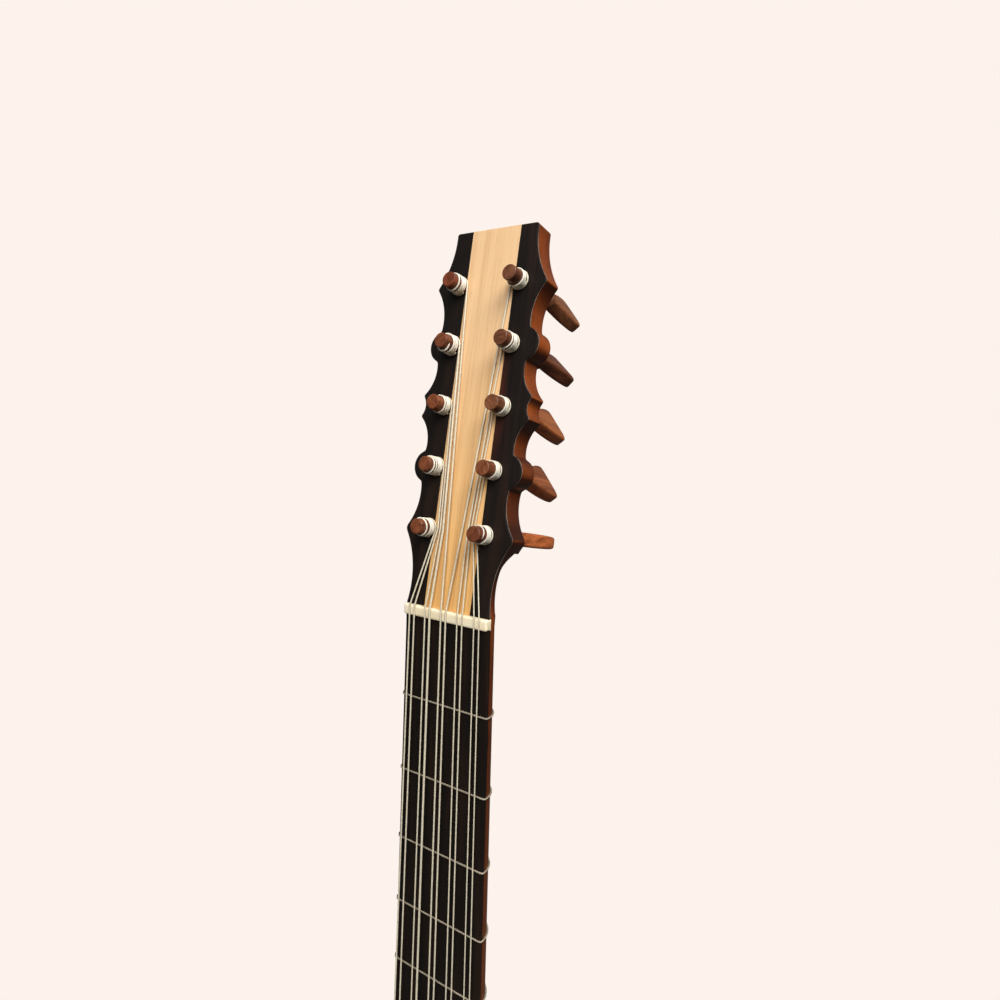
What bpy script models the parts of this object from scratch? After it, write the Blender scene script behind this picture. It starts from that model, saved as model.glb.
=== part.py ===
"""Five-course baroque guitar with a scalloped head, ten through pegs and tied frets.

The model is in metres. +Z runs up the neck to the head, the strings face -Y and the
treble side is +X. The origin is on the centre line, at the foot of the nut, in the
plane of the fingerboard: string lengths and frets are measured from there.
"""

import math

import bmesh
import bpy
import numpy as np
from mathutils import Matrix, Vector

# Clearances between pieces, and how far a cutter passes what it cuts
ROOM = 0.002
GAP = 0.0003  # between a piece and what it rests in or turns in
GLUE = 0.00012  # glue line between two flat faces
TURN_GAP = 0.0003  # from a peg to its hole, beyond what the flats of both take up

# Strings and frets
STRING_LENGTH = 0.690
FRET_COUNT = 9
FRET_RADIUS = 0.0004
FRET_STEPS = 14  # points round the neck's back
FRET_TAILS = 3  # of these, how many the two ends lie side by side for
FRET_CORNER = 0.0007  # how a fret cuts the corner of the fingerboard's edge
STRING_RADII = (0.00038, 0.00038, 0.00036, 0.00052, 0.00040,
                0.00040, 0.00034, 0.00034, 0.00030, 0.00030)
COURSE_SPACING_NUT = 0.0090
COURSE_SPACING_BRIDGE = 0.0135
PAIR_SPACING_NUT = 0.0027
PAIR_SPACING_BRIDGE = 0.0042
STRING_RISE_BRIDGE = 0.0062  # height of a string over the soundboard at the bridge
LOOP_OUT = 0.0006  # how far a string's loop round the bridge stands off it
LOOP_BEND = 0.0008  # size of the loop's bends

# Nut
NUT_WIDTH = 0.0462
NUT_LENGTH = 0.0050
NUT_PROUD = 0.0020
NUT_SEAT = 0.00015  # how far a string's axis lies over the nut's crown
NUT_ROUND = 0.0013  # rounding of the crown on the head's side
NUT_ROUND_BULGE = 0.0004
NUT_BEVEL = 0.0004  # on the strings' side

# Fingerboard and neck
BOARD_THICKNESS = 0.0015
BOARD_TAPER = 0.0100  # growth of the half width per metre of neck, in metres
JOINT_FRET = 12  # the neck meets the body at this fret's place
JOINT_ABOVE = 0.0020  # less this
NECK_DEPTH_NUT = 0.0144
NECK_DEPTH_HEEL = 0.0178
NECK_SIDES = 16
NECK_ROUNDNESS = 2.0  # 2 is a half ellipse, more is squarer
HEEL_ROUNDNESS = 1.7
HEEL_START = 0.030  # length of the heel's curve above the body
HEEL_STOP = 0.999  # share of the heel's quarter ellipse that is used, short of upright
HEEL_RINGS = 7
FOOT_LEVELS = (1, 0.87, 0.75, 0.6, 0.4, 0.2, 0)  # rings from the shoulder to the nut
NECK_LEVELS = (0, 0.3, 0.6, 1)  # rings from the nut's lower edge to the heel
RUN_OUT = 0.0200  # how far the neck runs up behind the head, from the nut's upper edge

# Head
HEAD_ABOVE_PEGS = 0.0260  # from the top row of pegs to the head's end
HEAD_TILT = math.radians(9.9)
HEAD_THICKNESS = 0.0116
HEAD_TOP_HALF = 0.0221
HEAD_WAIST_HALF = 0.0242
HEAD_TIP_HALF = 0.0297
LOW_TIP_HALF = 0.0292
LOW_TIP_DROP = 0.0003  # how far below its peg a single tip lies
TOP_TIP_DROP = 0.0005
TIP_SHORT = 0.0013  # where the low tip's round starts: short of its half width
TIP_BELOW = 0.0036  # and below it
SHOULDER = 0.0292  # up to here the plank's back is carved round, as the neck is
SHOULDER_ROLL = 0.0015  # how far the carved round would pass the plank's back there
CARVE_INSET = 0.0001  # from the veneers' edge to the carved round
LOBE_HALF = 0.0071  # half length of a round lobe beside its peg
DOUBLE_TIP_HALF = 0.0049
LOBE_BULGE = 0.0053
SCALLOP_BULGE = 0.0024
NOTCH_BULGE = 0.0020
ROOT_BULGE = 0.0031
TIP_BULGE = 0.0004
FACE_THICKNESS = 0.0015
LINE_THICKNESS = 0.0005
STRIPE_HALF_NUT = 0.0127
STRIPE_HALF_TOP = 0.0131
FOOT_REACH = 0.003  # how far the veneers run down before the nut's bed is cut

# Pegs
PEG_ROW_FIRST = 0.0356  # the lowest row, from the nut's upper edge
PEG_ROW_SPACING = 0.0284
PEG_OUT_FIRST = 0.0156  # from the centre line, lowest row
PEG_OUT_LAST = 0.0163
PEG_END_RADIUS = 0.0035
PEG_TAPER = 1 / 60  # growth of the radius towards the handle
PEG_BEVEL = 0.0003
PEG_PROUD = 0.0099
HANDLE_START = 0.0120  # from the back of the head to the handle's collar
HANDLE_LENGTH = 0.0227
HANDLE_HALF_WIDTH = 0.0096
HANDLE_HALF_THICK = 0.0031
COLLAR_PROUD = 0.0011  # the collar between shank and handle, over the shank
COLLAR_HALF = 0.0017  # half its length
HANDLE_SQUARENESS = 0.45  # power of the handle's sections, 1 being an oval
PEG_SIDES = 12
HANDLE_SHAPE = (  # share of the handle's length, of its width, of its thickness
    (0.22, 0.42, 1.04),
    (0.42, 0.62, 1.04),
    (0.64, 0.81, 0.99),
    (0.84, 0.95, 0.92),
    (0.96, 1.00, 0.86),
    (1.00, 0.94, 0.76),
)
LEFT_TURNS = (45, 60, 20, 70, 35)  # degrees by which each handle is turned from level
RIGHT_TURNS = (0, 50, 50, 42, 50)  # at rest, clockwise from the front, lowest row first
WINDING_TURNS = 3.5
WINDING_SPACE = 0.00045  # between one turn and the next
WINDING_STEPS = 12  # points in one turn
WRAP_ANGLE = math.radians(150)  # how far a string goes round its peg before the winding
WRAP_STEPS = 6
LANE_SPACE = 0.0008  # between strings that pass the lowest peg

# Body
BRIDGE_TO_TAIL = 0.0850
BODY_DEPTH = 0.085
UPPER_HALF = 0.1025
WAIST_HALF = 0.0850
LOWER_HALF = 0.1250
UPPER_BOUT = 0.085  # from the body's top edge to its widest line there
WAIST = 0.202  # from the body's top edge
LOWER_BOUT = 0.103  # from the tail to its widest line
TOP_THICKNESS = 0.0018
BACK_THICKNESS = 0.0022
RIB_THICKNESS = 0.0018
ROSE_DOWN = 0.158  # from the body's top edge to the rose's centre
HOLE_RADIUS = 0.0410
ROSE_LAP = 0.0035
ROSE_THICKNESS = 0.0011
ROSE_HUB = 0.0035
ROSE_RINGS = (  # petals in a ring, how far out, half length, half width, turn in petals
    (8, 0.0105, 0.0042, 0.0021, 0.0),
    (12, 0.0205, 0.0048, 0.0026, 0.5),
    (18, 0.0318, 0.0046, 0.0029, 0.0),
)
ROSE_SIDES = 40
PETAL_SIDES = 6
NECK_BLOCK_HALF = 0.034
NECK_BLOCK_LENGTH = 0.026
TAIL_BLOCK_HALF = 0.024
TAIL_BLOCK_LENGTH = 0.014
UPPER_STEPS = 10  # points in each stretch of the outline
WAIST_STEPS = 8
LOWER_STEPS = 12
BAR_WIDTH = 0.007
TOP_BARS = (0.092, 0.236)  # from the body's top edge
BACK_BARS = (0.205,)
BAR_HEIGHT = 0.014
BAR_END_HEIGHT = 0.004
BAR_RAMP = 0.022
RIB_INSET = 0.0004  # how far the soundboard and back reach past the ribs

# Bridge
BRIDGE_HALF = 0.0430
BRIDGE_DEPTH = 0.0130
BRIDGE_HEIGHT = 0.0090
BRIDGE_EDGE = 0.0006  # bevel along the top at the front
BRIDGE_SLOPE = 0.0020  # and at the rear
WING_THICKNESS = 0.0022
WING_OUTLINE = (  # out from the bar's end, up from its middle, bulge and points of the arc
    (-0.0040, 0.0060, 0, 1),
    (0.0040, 0.0045, 0, 1),
    (0.0330, 0.0045, -0.0022, 5),
    (0.0430, -0.0040, -0.0030, 3),
    (0.0300, -0.0010, 0.0030, 3),
    (0.0040, -0.0045, 0.0022, 5),
    (-0.0040, -0.0060, 0, 1),
)

# Values worked out from the sizes above
NECK_LENGTH = STRING_LENGTH * (1 - 2 ** (-JOINT_FRET / 12)) - JOINT_ABOVE
CORE_FRONT = -(FACE_THICKNESS + LINE_THICKNESS + 2 * GLUE)
NECK_TOP = BOARD_THICKNESS + GLUE
BODY_TOP_Z = -NECK_LENGTH
TAIL_Z = -STRING_LENGTH - BRIDGE_TO_TAIL
STRING_Y_NUT = -(NUT_PROUD + NUT_SEAT)
STRING_COUNT = len(STRING_RADII)
ROWS = STRING_COUNT // 2
HOLE_SIDES = 12
HEAD_LENGTH = PEG_ROW_FIRST + PEG_ROW_SPACING * (ROWS - 1) + HEAD_ABOVE_PEGS
# The plank's back meets the plane of the neck's top this far below the nut
SCARF_LENGTH = (HEAD_THICKNESS / math.cos(HEAD_TILT) - NECK_TOP) / math.tan(HEAD_TILT)

# The face of the head: local X is world X, local Y runs up the face from the nut's
# upper edge, and local Z comes out of the face
HEAD_FRAME = Matrix((
    (1, 0, 0, 0),
    (0, math.sin(HEAD_TILT), -math.cos(HEAD_TILT), 0),
    (0, math.cos(HEAD_TILT), math.sin(HEAD_TILT), NUT_LENGTH),
    (0, 0, 0, 1),
))
# The front of the body: local Y is world Z, local Z comes out of the soundboard
FRONT_FRAME = Matrix(((1, 0, 0, 0), (0, 0, -1, 0), (0, 1, 0, 0), (0, 0, 0, 1)))
# Seen from the treble side: local X is world Z, local Y comes out of the front
SIDE_FRAME = Matrix(((0, 0, 1, 0), (0, -1, 0, 0), (1, 0, 0, 0), (0, 0, 0, 1)))
LEVEL_FRAME = Matrix.Identity(4)


def clear_scene():
    for old in list(bpy.data.objects):
        bpy.data.objects.remove(old, do_unlink=True)


def new_collection(name):
    made = bpy.data.collections.new(name)
    bpy.context.scene.collection.children.link(made)
    return made


clear_scene()
PARTS = new_collection("baroque_guitar")
CUTTERS = new_collection("cutters")


def material(name, colour, roughness):
    made = bpy.data.materials.new(name)
    made.use_nodes = True
    shader = made.node_tree.nodes["Principled BSDF"]
    shader.inputs["Base Color"].default_value = (*colour, 1)
    shader.inputs["Roughness"].default_value = roughness
    shader.inputs["Metallic"].default_value = 0
    return made


EBONY = material("ebony", (0.012, 0.010, 0.009), 0.45)
PALE_WOOD = material("pale_wood", (0.74, 0.52, 0.28), 0.5)
PALE_LINE = material("pale_line", (0.66, 0.58, 0.46), 0.5)
MAHOGANY = material("mahogany", (0.21, 0.055, 0.020), 0.3)
ROSEWOOD = material("rosewood", (0.13, 0.040, 0.022), 0.35)
BONE = material("bone", (0.80, 0.72, 0.56), 0.4)
GUT = material("gut", (0.78, 0.74, 0.62), 0.4)
SPRUCE = material("spruce", (0.76, 0.50, 0.24), 0.4)
PARCHMENT = material("parchment", (0.70, 0.58, 0.40), 0.7)
LINDEN = material("linden", (0.62, 0.44, 0.26), 0.7)


def add_object(name, data, finish, frame=LEVEL_FRAME, home=None):
    """Links an object to its collection and gives it its own copy of a finish."""
    made = bpy.data.objects.new(name, data)
    made.matrix_world = frame
    (home or PARTS).objects.link(made)
    if finish:
        own = finish.copy()
        own.name = name
        data.materials.clear()
        data.materials.append(own)
    return made


def as_cutter(made):
    made.hide_render = True
    made.display_type = "WIRE"
    return made


def evaluated_mesh(made):
    """A welded mesh of what an object's curve or modifiers give."""
    bpy.context.view_layer.update()
    graph = bpy.context.evaluated_depsgraph_get()
    mesh = bpy.data.meshes.new_from_object(made.evaluated_get(graph))
    shape = bmesh.new()
    shape.from_mesh(mesh)
    bmesh.ops.remove_doubles(shape, verts=shape.verts, dist=1e-6)
    shape.to_mesh(mesh)
    shape.free()
    return mesh


def plate(name, loops, low, high, frame, finish, home=None):
    """A flat outline, its inner loops as holes, from local height low to high."""
    outline = bpy.data.curves.new(name, "CURVE")
    outline.dimensions = "2D"
    outline.fill_mode = "BOTH"
    outline.extrude = (high - low) / 2
    for loop in loops:
        spline = outline.splines.new("POLY")
        spline.points.add(len(loop) - 1)
        for point, (x, y) in zip(spline.points, loop):
            point.co = (x, y, 0, 1)
        spline.use_cyclic_u = True
    flat = bpy.data.objects.new(name + "_outline", outline)
    flat.matrix_world = frame @ Matrix.Translation((0, 0, (low + high) / 2))
    PARTS.objects.link(flat)
    mesh = evaluated_mesh(flat)
    matrix = flat.matrix_world.copy()
    bpy.data.objects.remove(flat)
    mesh.name = name
    made = add_object(name, mesh, finish, matrix, home)
    mesh.shade_flat()
    return made


def loft(name, rings, finish, frame=LEVEL_FRAME, home=None):
    """A skin over rings of equal length, closed by a flat cap at each end."""
    shape = bmesh.new()
    rows = [[shape.verts.new(point) for point in ring] for ring in rings]
    size = len(rows[0])
    for lower, upper in zip(rows, rows[1:]):
        for i in range(size):
            j = (i + 1) % size
            shape.faces.new((lower[i], lower[j], upper[j], upper[i]))
    shape.faces.new(list(reversed(rows[0])))
    shape.faces.new(rows[-1])
    bmesh.ops.recalc_face_normals(shape, faces=shape.faces)
    mesh = bpy.data.meshes.new(name)
    shape.to_mesh(mesh)
    shape.free()
    made = add_object(name, mesh, finish, frame, home)
    mesh.shade_smooth()
    mesh.set_sharp_from_angle(angle=math.radians(35))
    return made


def cut(made, other, operation="DIFFERENCE"):
    """A Boolean, made into the object's own mesh."""
    step = made.modifiers.new(operation.lower(), "BOOLEAN")
    step.operation = operation
    step.object = other
    step.solver = "EXACT"
    mesh = evaluated_mesh(made)
    made.modifiers.clear()
    made.data = mesh
    return made


def box_cutter(name, low, high, frame=LEVEL_FRAME):
    centre = (Vector(low) + Vector(high)) / 2
    size = Vector(high) - Vector(low)
    shape = bmesh.new()
    bmesh.ops.create_cube(shape, size=1)
    bmesh.ops.scale(shape, vec=size, verts=shape.verts)
    bmesh.ops.translate(shape, vec=centre, verts=shape.verts)
    mesh = bpy.data.meshes.new(name)
    shape.to_mesh(mesh)
    shape.free()
    return as_cutter(add_object(name, mesh, None, frame, CUTTERS))


def rod_cutter(name, rods, sides, frame=LEVEL_FRAME):
    """Rods as one cutter: each is its centre, axis, length, radius and end radius."""
    shape = bmesh.new()
    for centre, axis, length, near, far in rods:
        turn = Vector(axis).to_track_quat("Z", "Y").to_matrix().to_4x4()
        bmesh.ops.create_cone(
            shape, cap_ends=True, segments=sides, radius1=near, radius2=far,
            depth=length, matrix=Matrix.Translation(centre) @ turn)
    mesh = bpy.data.meshes.new(name)
    shape.to_mesh(mesh)
    shape.free()
    return as_cutter(add_object(name, mesh, None, frame, CUTTERS))


def tube(name, points, radius, finish):
    """A round tube along a list of points, with filled caps."""
    path = bpy.data.curves.new(name, "CURVE")
    path.dimensions = "3D"
    path.bevel_depth = radius
    path.bevel_resolution = 1
    path.use_fill_caps = True
    spline = path.splines.new("POLY")
    spline.points.add(len(points) - 1)
    for point, place in zip(spline.points, points):
        point.co = (*place, 1)
    return add_object(name, path, finish)


def least_gap(points, diameter):
    """The smallest space from a tube to a later stretch of itself, on dense points."""
    corners = np.array([tuple(p) for p in points])
    steps = np.linspace(0, 1, 5)[:-1]
    dense = (corners[:-1, None] * (1 - steps)[None, :, None]
             + corners[1:, None] * steps[None, :, None]).reshape(-1, 3)
    along = np.r_[0, np.cumsum(np.linalg.norm(np.diff(dense, axis=0), axis=1))]
    apart = np.linalg.norm(dense[:, None] - dense[None], axis=2)
    apart[np.abs(along[:, None] - along[None]) < 6 * diameter] = np.inf
    return float(apart.min() - diameter)


def arc(start, end, bulge, steps):
    """Points after start, up to end, on an arc that swells by bulge to the right of
    the way from start to end, seen with X to the right and Y up."""
    start = Vector(start)
    end = Vector(end)
    if not bulge:
        return [tuple(end)]
    half = (end - start).length / 2
    radius = (half * half + bulge * bulge) / (2 * abs(bulge))
    way = (end - start).normalized()
    right = Vector((way.y, -way.x)) * math.copysign(1, bulge)
    centre = (start + end) / 2 - right * (radius - abs(bulge))
    spread = math.asin(min(1, half / radius))
    angles = [spread * (2 * i / steps - 1) for i in range(1, steps + 1)]
    return [tuple(centre + radius * (right * math.cos(a) + way * math.sin(a)))
            for a in angles]


def bezier(start, pull_start, pull_end, end, steps):
    """Points after start, up to end, on one cubic curve."""
    t = np.linspace(0, 1, steps + 1)[1:, None]
    a, b, c, d = (np.array(p, float) for p in (start, pull_start, pull_end, end))
    line = (1 - t) ** 3 * a + 3 * (1 - t) ** 2 * t * b + 3 * (1 - t) * t ** 2 * c + t ** 3 * d
    return [tuple(p) for p in line]


def peg_row(row):
    """Height of a row of pegs up the face; row 0 is the lowest."""
    return PEG_ROW_FIRST + PEG_ROW_SPACING * row


def peg_out(row):
    """Distance of a peg's axis from the centre line."""
    return PEG_OUT_FIRST + (PEG_OUT_LAST - PEG_OUT_FIRST) * row / (ROWS - 1)


def peg_radius(height):
    """Radius of a peg's shank at a height over the face of the head."""
    return PEG_END_RADIUS + PEG_TAPER * (PEG_PROUD - height)


def board_half(z):
    """Half width of the fingerboard and neck at a height z below the nut."""
    return NUT_WIDTH / 2 - BOARD_TAPER * min(z, 0)


def head_side():
    """The scalloped edge of the treble side, from the nut's upper edge to the top:
    single tips by the first and last pegs, a double tip by the middle one, and a
    round lobe by the two between."""
    waist = HEAD_WAIST_HALF
    tip = HEAD_TIP_HALF
    low_tip = peg_row(0) - LOW_TIP_DROP
    high_tip = peg_row(4) - TOP_TIP_DROP
    corners = [
        ((LOW_TIP_HALF - TIP_SHORT, low_tip - TIP_BELOW), -ROOT_BULGE, 6),
        ((LOW_TIP_HALF, low_tip), TIP_BULGE, 2),
        ((waist, peg_row(1) - LOBE_HALF), -SCALLOP_BULGE, 5),
        ((waist, peg_row(1) + LOBE_HALF), LOBE_BULGE, 8),
        ((tip, peg_row(2) - DOUBLE_TIP_HALF), -SCALLOP_BULGE, 5),
        ((tip, peg_row(2) + DOUBLE_TIP_HALF), -NOTCH_BULGE, 4),
        ((waist, peg_row(3) - LOBE_HALF), -SCALLOP_BULGE, 5),
        ((waist, peg_row(3) + LOBE_HALF), LOBE_BULGE, 8),
        ((tip, high_tip), -SCALLOP_BULGE, 5),
        ((HEAD_TOP_HALF, HEAD_LENGTH), -SCALLOP_BULGE, 6),
    ]
    side = [(NUT_WIDTH / 2, 0)]
    for end, bulge, steps in corners:
        side += arc(side[-1], end, bulge, steps)
    return side


def stripe_half(s):
    """Half width of the pale stripe at a height up the face."""
    return STRIPE_HALF_NUT + (STRIPE_HALF_TOP - STRIPE_HALF_NUT) * s / HEAD_LENGTH


def plank_y(height, z):
    """Depth, at a level z, of the plane at a height over the head's face."""
    return (z - NUT_LENGTH) * math.tan(HEAD_TILT) - height / math.cos(HEAD_TILT)


def edge_half(s):
    """Half width of the head's outline at a height s up the face."""
    side = np.array(head_side())
    return float(np.interp(s, side[:, 1], side[:, 0]))


def head_half(z):
    """Half width of the head's outline where a level z meets the plank's front."""
    return edge_half((z - NUT_LENGTH - CORE_FRONT * math.sin(HEAD_TILT)) / math.cos(HEAD_TILT))


def neck_back(z):
    """Depth of the neck's back line: it deepens slowly to the heel's curve, which is
    a quarter of an ellipse down to the body's back. Above the nut it runs straight
    out behind the plank, and from there the plank's own carved round goes on."""
    back = NECK_TOP + NECK_DEPTH_NUT
    if z > 0:
        run_out = NUT_LENGTH + RUN_OUT
        shoulder = NUT_LENGTH + SHOULDER * math.cos(HEAD_TILT)
        end = plank_y(-HEAD_THICKNESS, shoulder) + SHOULDER_ROLL
        share = max((z - run_out) / (shoulder - run_out), 0)
        return back + (end - back) * share
    heel_top = -NECK_LENGTH + HEEL_START
    plain = back + (NECK_DEPTH_HEEL - NECK_DEPTH_NUT) * min(z / heel_top, 1)
    t = min(max((heel_top - z) / HEEL_START, 0), 1) * HEEL_STOP
    return plain + (BODY_DEPTH - plain) * (1 - math.sqrt(1 - t * t))


def neck_arc(z, grow, count):
    """The round of the section at a level z, treble edge to bass edge, grown
    outwards: the neck's, and above the nut the carved plank's."""
    width = (head_half(z) - CARVE_INSET if z > NUT_LENGTH else board_half(z)) + grow
    top = max(NECK_TOP, plank_y(CORE_FRONT, z))
    depth = neck_back(z) + grow - top
    heel = min(max((-NECK_LENGTH + HEEL_START - z) / HEEL_START, 0), 1)
    power = 2 / (NECK_ROUNDNESS + (HEEL_ROUNDNESS - NECK_ROUNDNESS) * heel)
    points = []
    for i in range(count + 1):
        angle = math.pi * i / count
        c = math.cos(angle)
        s = max(math.sin(angle), 0)
        x = width * math.copysign(abs(c) ** power, c)
        points.append((x, top + depth * s ** power, z))
    return points


def body_side(inset=0.0):
    """Half of the body's outline, centre top to centre tail, moved inwards."""
    upper = BODY_TOP_Z - UPPER_BOUT
    waist = BODY_TOP_Z - WAIST
    lower = TAIL_Z + LOWER_BOUT
    # Each bout's end, then how far the curve is pulled on leaving the start, in shares
    # of its reach, and on arriving at the end
    bouts = [
        ((UPPER_HALF, upper), (0.64, 0), (0, 0.59), UPPER_STEPS),
        ((WAIST_HALF, waist), (0, 0.38), (0, 0.36), WAIST_STEPS),
        ((LOWER_HALF, lower), (0, 0.37), (0, 0.48), WAIST_STEPS),
        ((0, TAIL_Z), (0, 0.60), (0.62, 0), LOWER_STEPS),
    ]
    side = [(0, BODY_TOP_Z)]
    for end, leave, arrive, steps in bouts:
        start = np.array(side[-1])
        reach = np.array(end) - start
        side += bezier(start, start + reach * leave, end - reach * arrive, end, steps)
    points = np.array(side)
    ways = np.gradient(points, axis=0)
    ways[0] = (1, 0)
    ways[-1] = (-1, 0)
    ways /= np.linalg.norm(ways, axis=1)[:, None]
    inwards = np.stack([ways[:, 1], -ways[:, 0]], axis=1)
    return points + inwards * inset


def body_loop(inset=0.0):
    """The whole outline of the body, clockwise from the centre top."""
    side = body_side(inset)
    mirrored = side[-2:0:-1] * (-1, 1)
    return [tuple(p) for p in side] + [tuple(p) for p in mirrored]


def inner_half(z, inset):
    """Half width of the body inside an inset outline, at a height z."""
    side = body_side(inset)
    order = np.argsort(side[:, 1])
    return float(np.interp(z, side[order, 1], side[order, 0]))


def circle(x, y, radius, count, turn=0.0):
    return [(x + radius * math.cos(turn + 2 * math.pi * i / count),
             y + radius * math.sin(turn + 2 * math.pi * i / count))
            for i in range(count)]


def peg_frame(side, row):
    """On a peg's axis in the plane of the head's face; local Z comes out of it."""
    place = Matrix.Translation((side * peg_out(row), peg_row(row), 0))
    return HEAD_FRAME @ place


def mirrored_loop(edge):
    """A closed outline from its treble edge, foot to top."""
    return edge + [(-x, y) for x, y in reversed(edge)]


def make_head():
    """The plank with its veneers. Below the shoulder the plank is wider at first, and
    is carved to the round that it shares with the neck, down to the scarf's end."""
    side = head_side()
    foot = (NUT_WIDTH / 2, -FOOT_REACH)
    edge = [foot] + side
    room = NUT_WIDTH
    low = -SCARF_LENGTH - ROOM
    start = SHOULDER - ROOM
    above = [point for point in side if point[1] > start]
    blank = [(room, low), (room, start), (edge_half(start), start)] + above
    core = plate("head_core", [mirrored_loop(blank)], -HEAD_THICKNESS, CORE_FRONT,
                 HEAD_FRAME, MAHOGANY)
    waste = box_cutter("carved_away", (-2 * room, low - ROOM, -2 * room),
                       (2 * room, SHOULDER, room), HEAD_FRAME)
    cut(waste, as_cutter(neck_blank("carved_round")))
    cut(core, waste)
    line = plate("head_line", [mirrored_loop(edge)], CORE_FRONT + GLUE,
                 -FACE_THICKNESS - GLUE, HEAD_FRAME, PALE_LINE)
    stripe = [(stripe_half(s) - GLUE / 2, s) for s in (-FOOT_REACH, HEAD_LENGTH)]
    centre = plate("face_centre", [mirrored_loop(stripe)], -FACE_THICKNESS, 0,
                   HEAD_FRAME, PALE_WOOD)
    faces = [line, centre]
    for name, sign in (("face_right", 1), ("face_left", -1)):
        inner = [(stripe_half(s) + GLUE / 2, s) for s in (HEAD_LENGTH, -FOOT_REACH)]
        strip = [(sign * x, y) for x, y in edge + inner]
        faces.append(plate(name, [strip], -FACE_THICKNESS, 0, HEAD_FRAME, EBONY))
    bed = box_cutter("nut_bed", (-room, -room, low - room), (room, NECK_TOP, NUT_LENGTH + GLUE))
    holes = []
    facets = 1 / math.cos(math.pi / HOLE_SIDES)
    for row in range(ROWS):
        for sign in (-1, 1):
            centre = (sign * peg_out(row), peg_row(row), -HEAD_THICKNESS / 2)
            back = (peg_radius(-HEAD_THICKNESS - ROOM) + TURN_GAP) * facets
            front = (peg_radius(ROOM) + TURN_GAP) * facets
            holes.append((centre, (0, 0, 1), HEAD_THICKNESS + 2 * ROOM, back, front))
    drill = rod_cutter("peg_holes", holes, HOLE_SIDES, HEAD_FRAME)
    for piece in [core] + faces:
        cut(piece, bed)
        cut(piece, drill)
        piece.data.shade_flat()


def neck_blank(name):
    """The carved round of the head's foot, neck and heel as one bar. Each ring is the
    round of the section and two corners in front of it, which are cut off later."""
    heel_top = -NECK_LENGTH + HEEL_START
    levels = [NUT_LENGTH + (SHOULDER + ROOM) * share for share in FOOT_LEVELS]
    levels += [heel_top * share for share in NECK_LEVELS]
    levels += [heel_top - HEEL_START * math.sin(math.pi / 2 * (i + 1) / HEEL_RINGS)
               for i in range(HEEL_RINGS)]
    levels.append(-NECK_LENGTH - NECK_BLOCK_LENGTH / 2)
    rings = []
    for z in levels:
        ring = neck_arc(z, 0, NECK_SIDES)
        front = ring[0][1] - NECK_TOP - ROOM
        rings.append(ring + [(ring[-1][0], front, z), (ring[0][0], front, z)])
    return loft(name, rings, None, home=CUTTERS)


def make_neck():
    blank = neck_blank("neck")
    CUTTERS.objects.unlink(blank)
    PARTS.objects.link(blank)
    own = MAHOGANY.copy()
    own.name = "neck"
    blank.data.materials.append(own)
    room = NUT_WIDTH
    cut(blank, box_cutter("scarf", (-room, -2 * SCARF_LENGTH, -HEAD_THICKNESS - GLUE),
                          (room, 2 * SCARF_LENGTH, room), HEAD_FRAME))
    cut(blank, box_cutter("board_bed", (-room, -room, -2 * NECK_LENGTH),
                          (room, NECK_TOP, 0)))
    cut(blank, box_cutter("run_out", (-room, -room, NUT_LENGTH + RUN_OUT),
                          (room, room, NUT_LENGTH + 2 * SHOULDER)))
    cut(blank, body_prism("neck_seat"))
    blank.data.shade_smooth()
    blank.data.set_sharp_from_angle(angle=math.radians(30))


def body_prism(name):
    """The room that the body takes up, a gap larger all round."""
    prism = plate(name, [body_loop(-GAP)], -2 * BODY_DEPTH, BODY_DEPTH, FRONT_FRAME, None,
                  CUTTERS)
    return as_cutter(prism)


def make_fingerboard():
    low = -NECK_LENGTH - NECK_BLOCK_LENGTH / 2
    loop = [(board_half(-GLUE), -GLUE), (board_half(low), low),
            (-board_half(low), low), (-board_half(-GLUE), -GLUE)]
    board = plate("fingerboard", [loop], -BOARD_THICKNESS, 0, FRONT_FRAME, EBONY)
    cut(board, body_prism("board_seat"))


def string_x(index, spacing, pair):
    """Sideways place of a string: five courses of two, counted from the bass."""
    course = index // 2 - 2
    side = index % 2 - 0.5
    return course * spacing + side * pair


def make_nut():
    """The nut: a bar with a rounded crown, its foot in the bed, a groove a string."""
    half = NUT_WIDTH / 2
    foot = GLUE - NECK_TOP
    profile = [(0, foot), (NUT_LENGTH, foot), (NUT_LENGTH, NUT_PROUD - NUT_ROUND)]
    profile += arc(profile[-1], (NUT_LENGTH - NUT_ROUND, NUT_PROUD), NUT_ROUND_BULGE, 3)
    profile += [(NUT_BEVEL, NUT_PROUD), (0, NUT_PROUD - NUT_BEVEL)]
    nut = plate("nut", [profile], -half, half, SIDE_FRAME, BONE)
    slots = []
    for index, radius in enumerate(STRING_RADII):
        x = string_x(index, COURSE_SPACING_NUT, PAIR_SPACING_NUT)
        centre = (x, STRING_Y_NUT, NUT_LENGTH / 2)
        wide = radius + GAP
        slots.append((centre, (0, 0, 1), NUT_LENGTH + 2 * ROOM, wide, wide))
    cut(nut, rod_cutter("nut_slots", slots, 8))


def oval_ring(height, half_width, half_thick):
    """A ring of a peg: round, or flattened and squarer where it is a handle's."""
    power = 1 if half_width == half_thick else HANDLE_SQUARENESS
    ring = []
    for i in range(PEG_SIDES):
        angle = 2 * math.pi * i / PEG_SIDES
        c = math.cos(angle)
        s = math.sin(angle)
        ring.append((half_width * math.copysign(abs(c) ** power, c),
                     half_thick * math.copysign(abs(s) ** power, s), height))
    return ring


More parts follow.
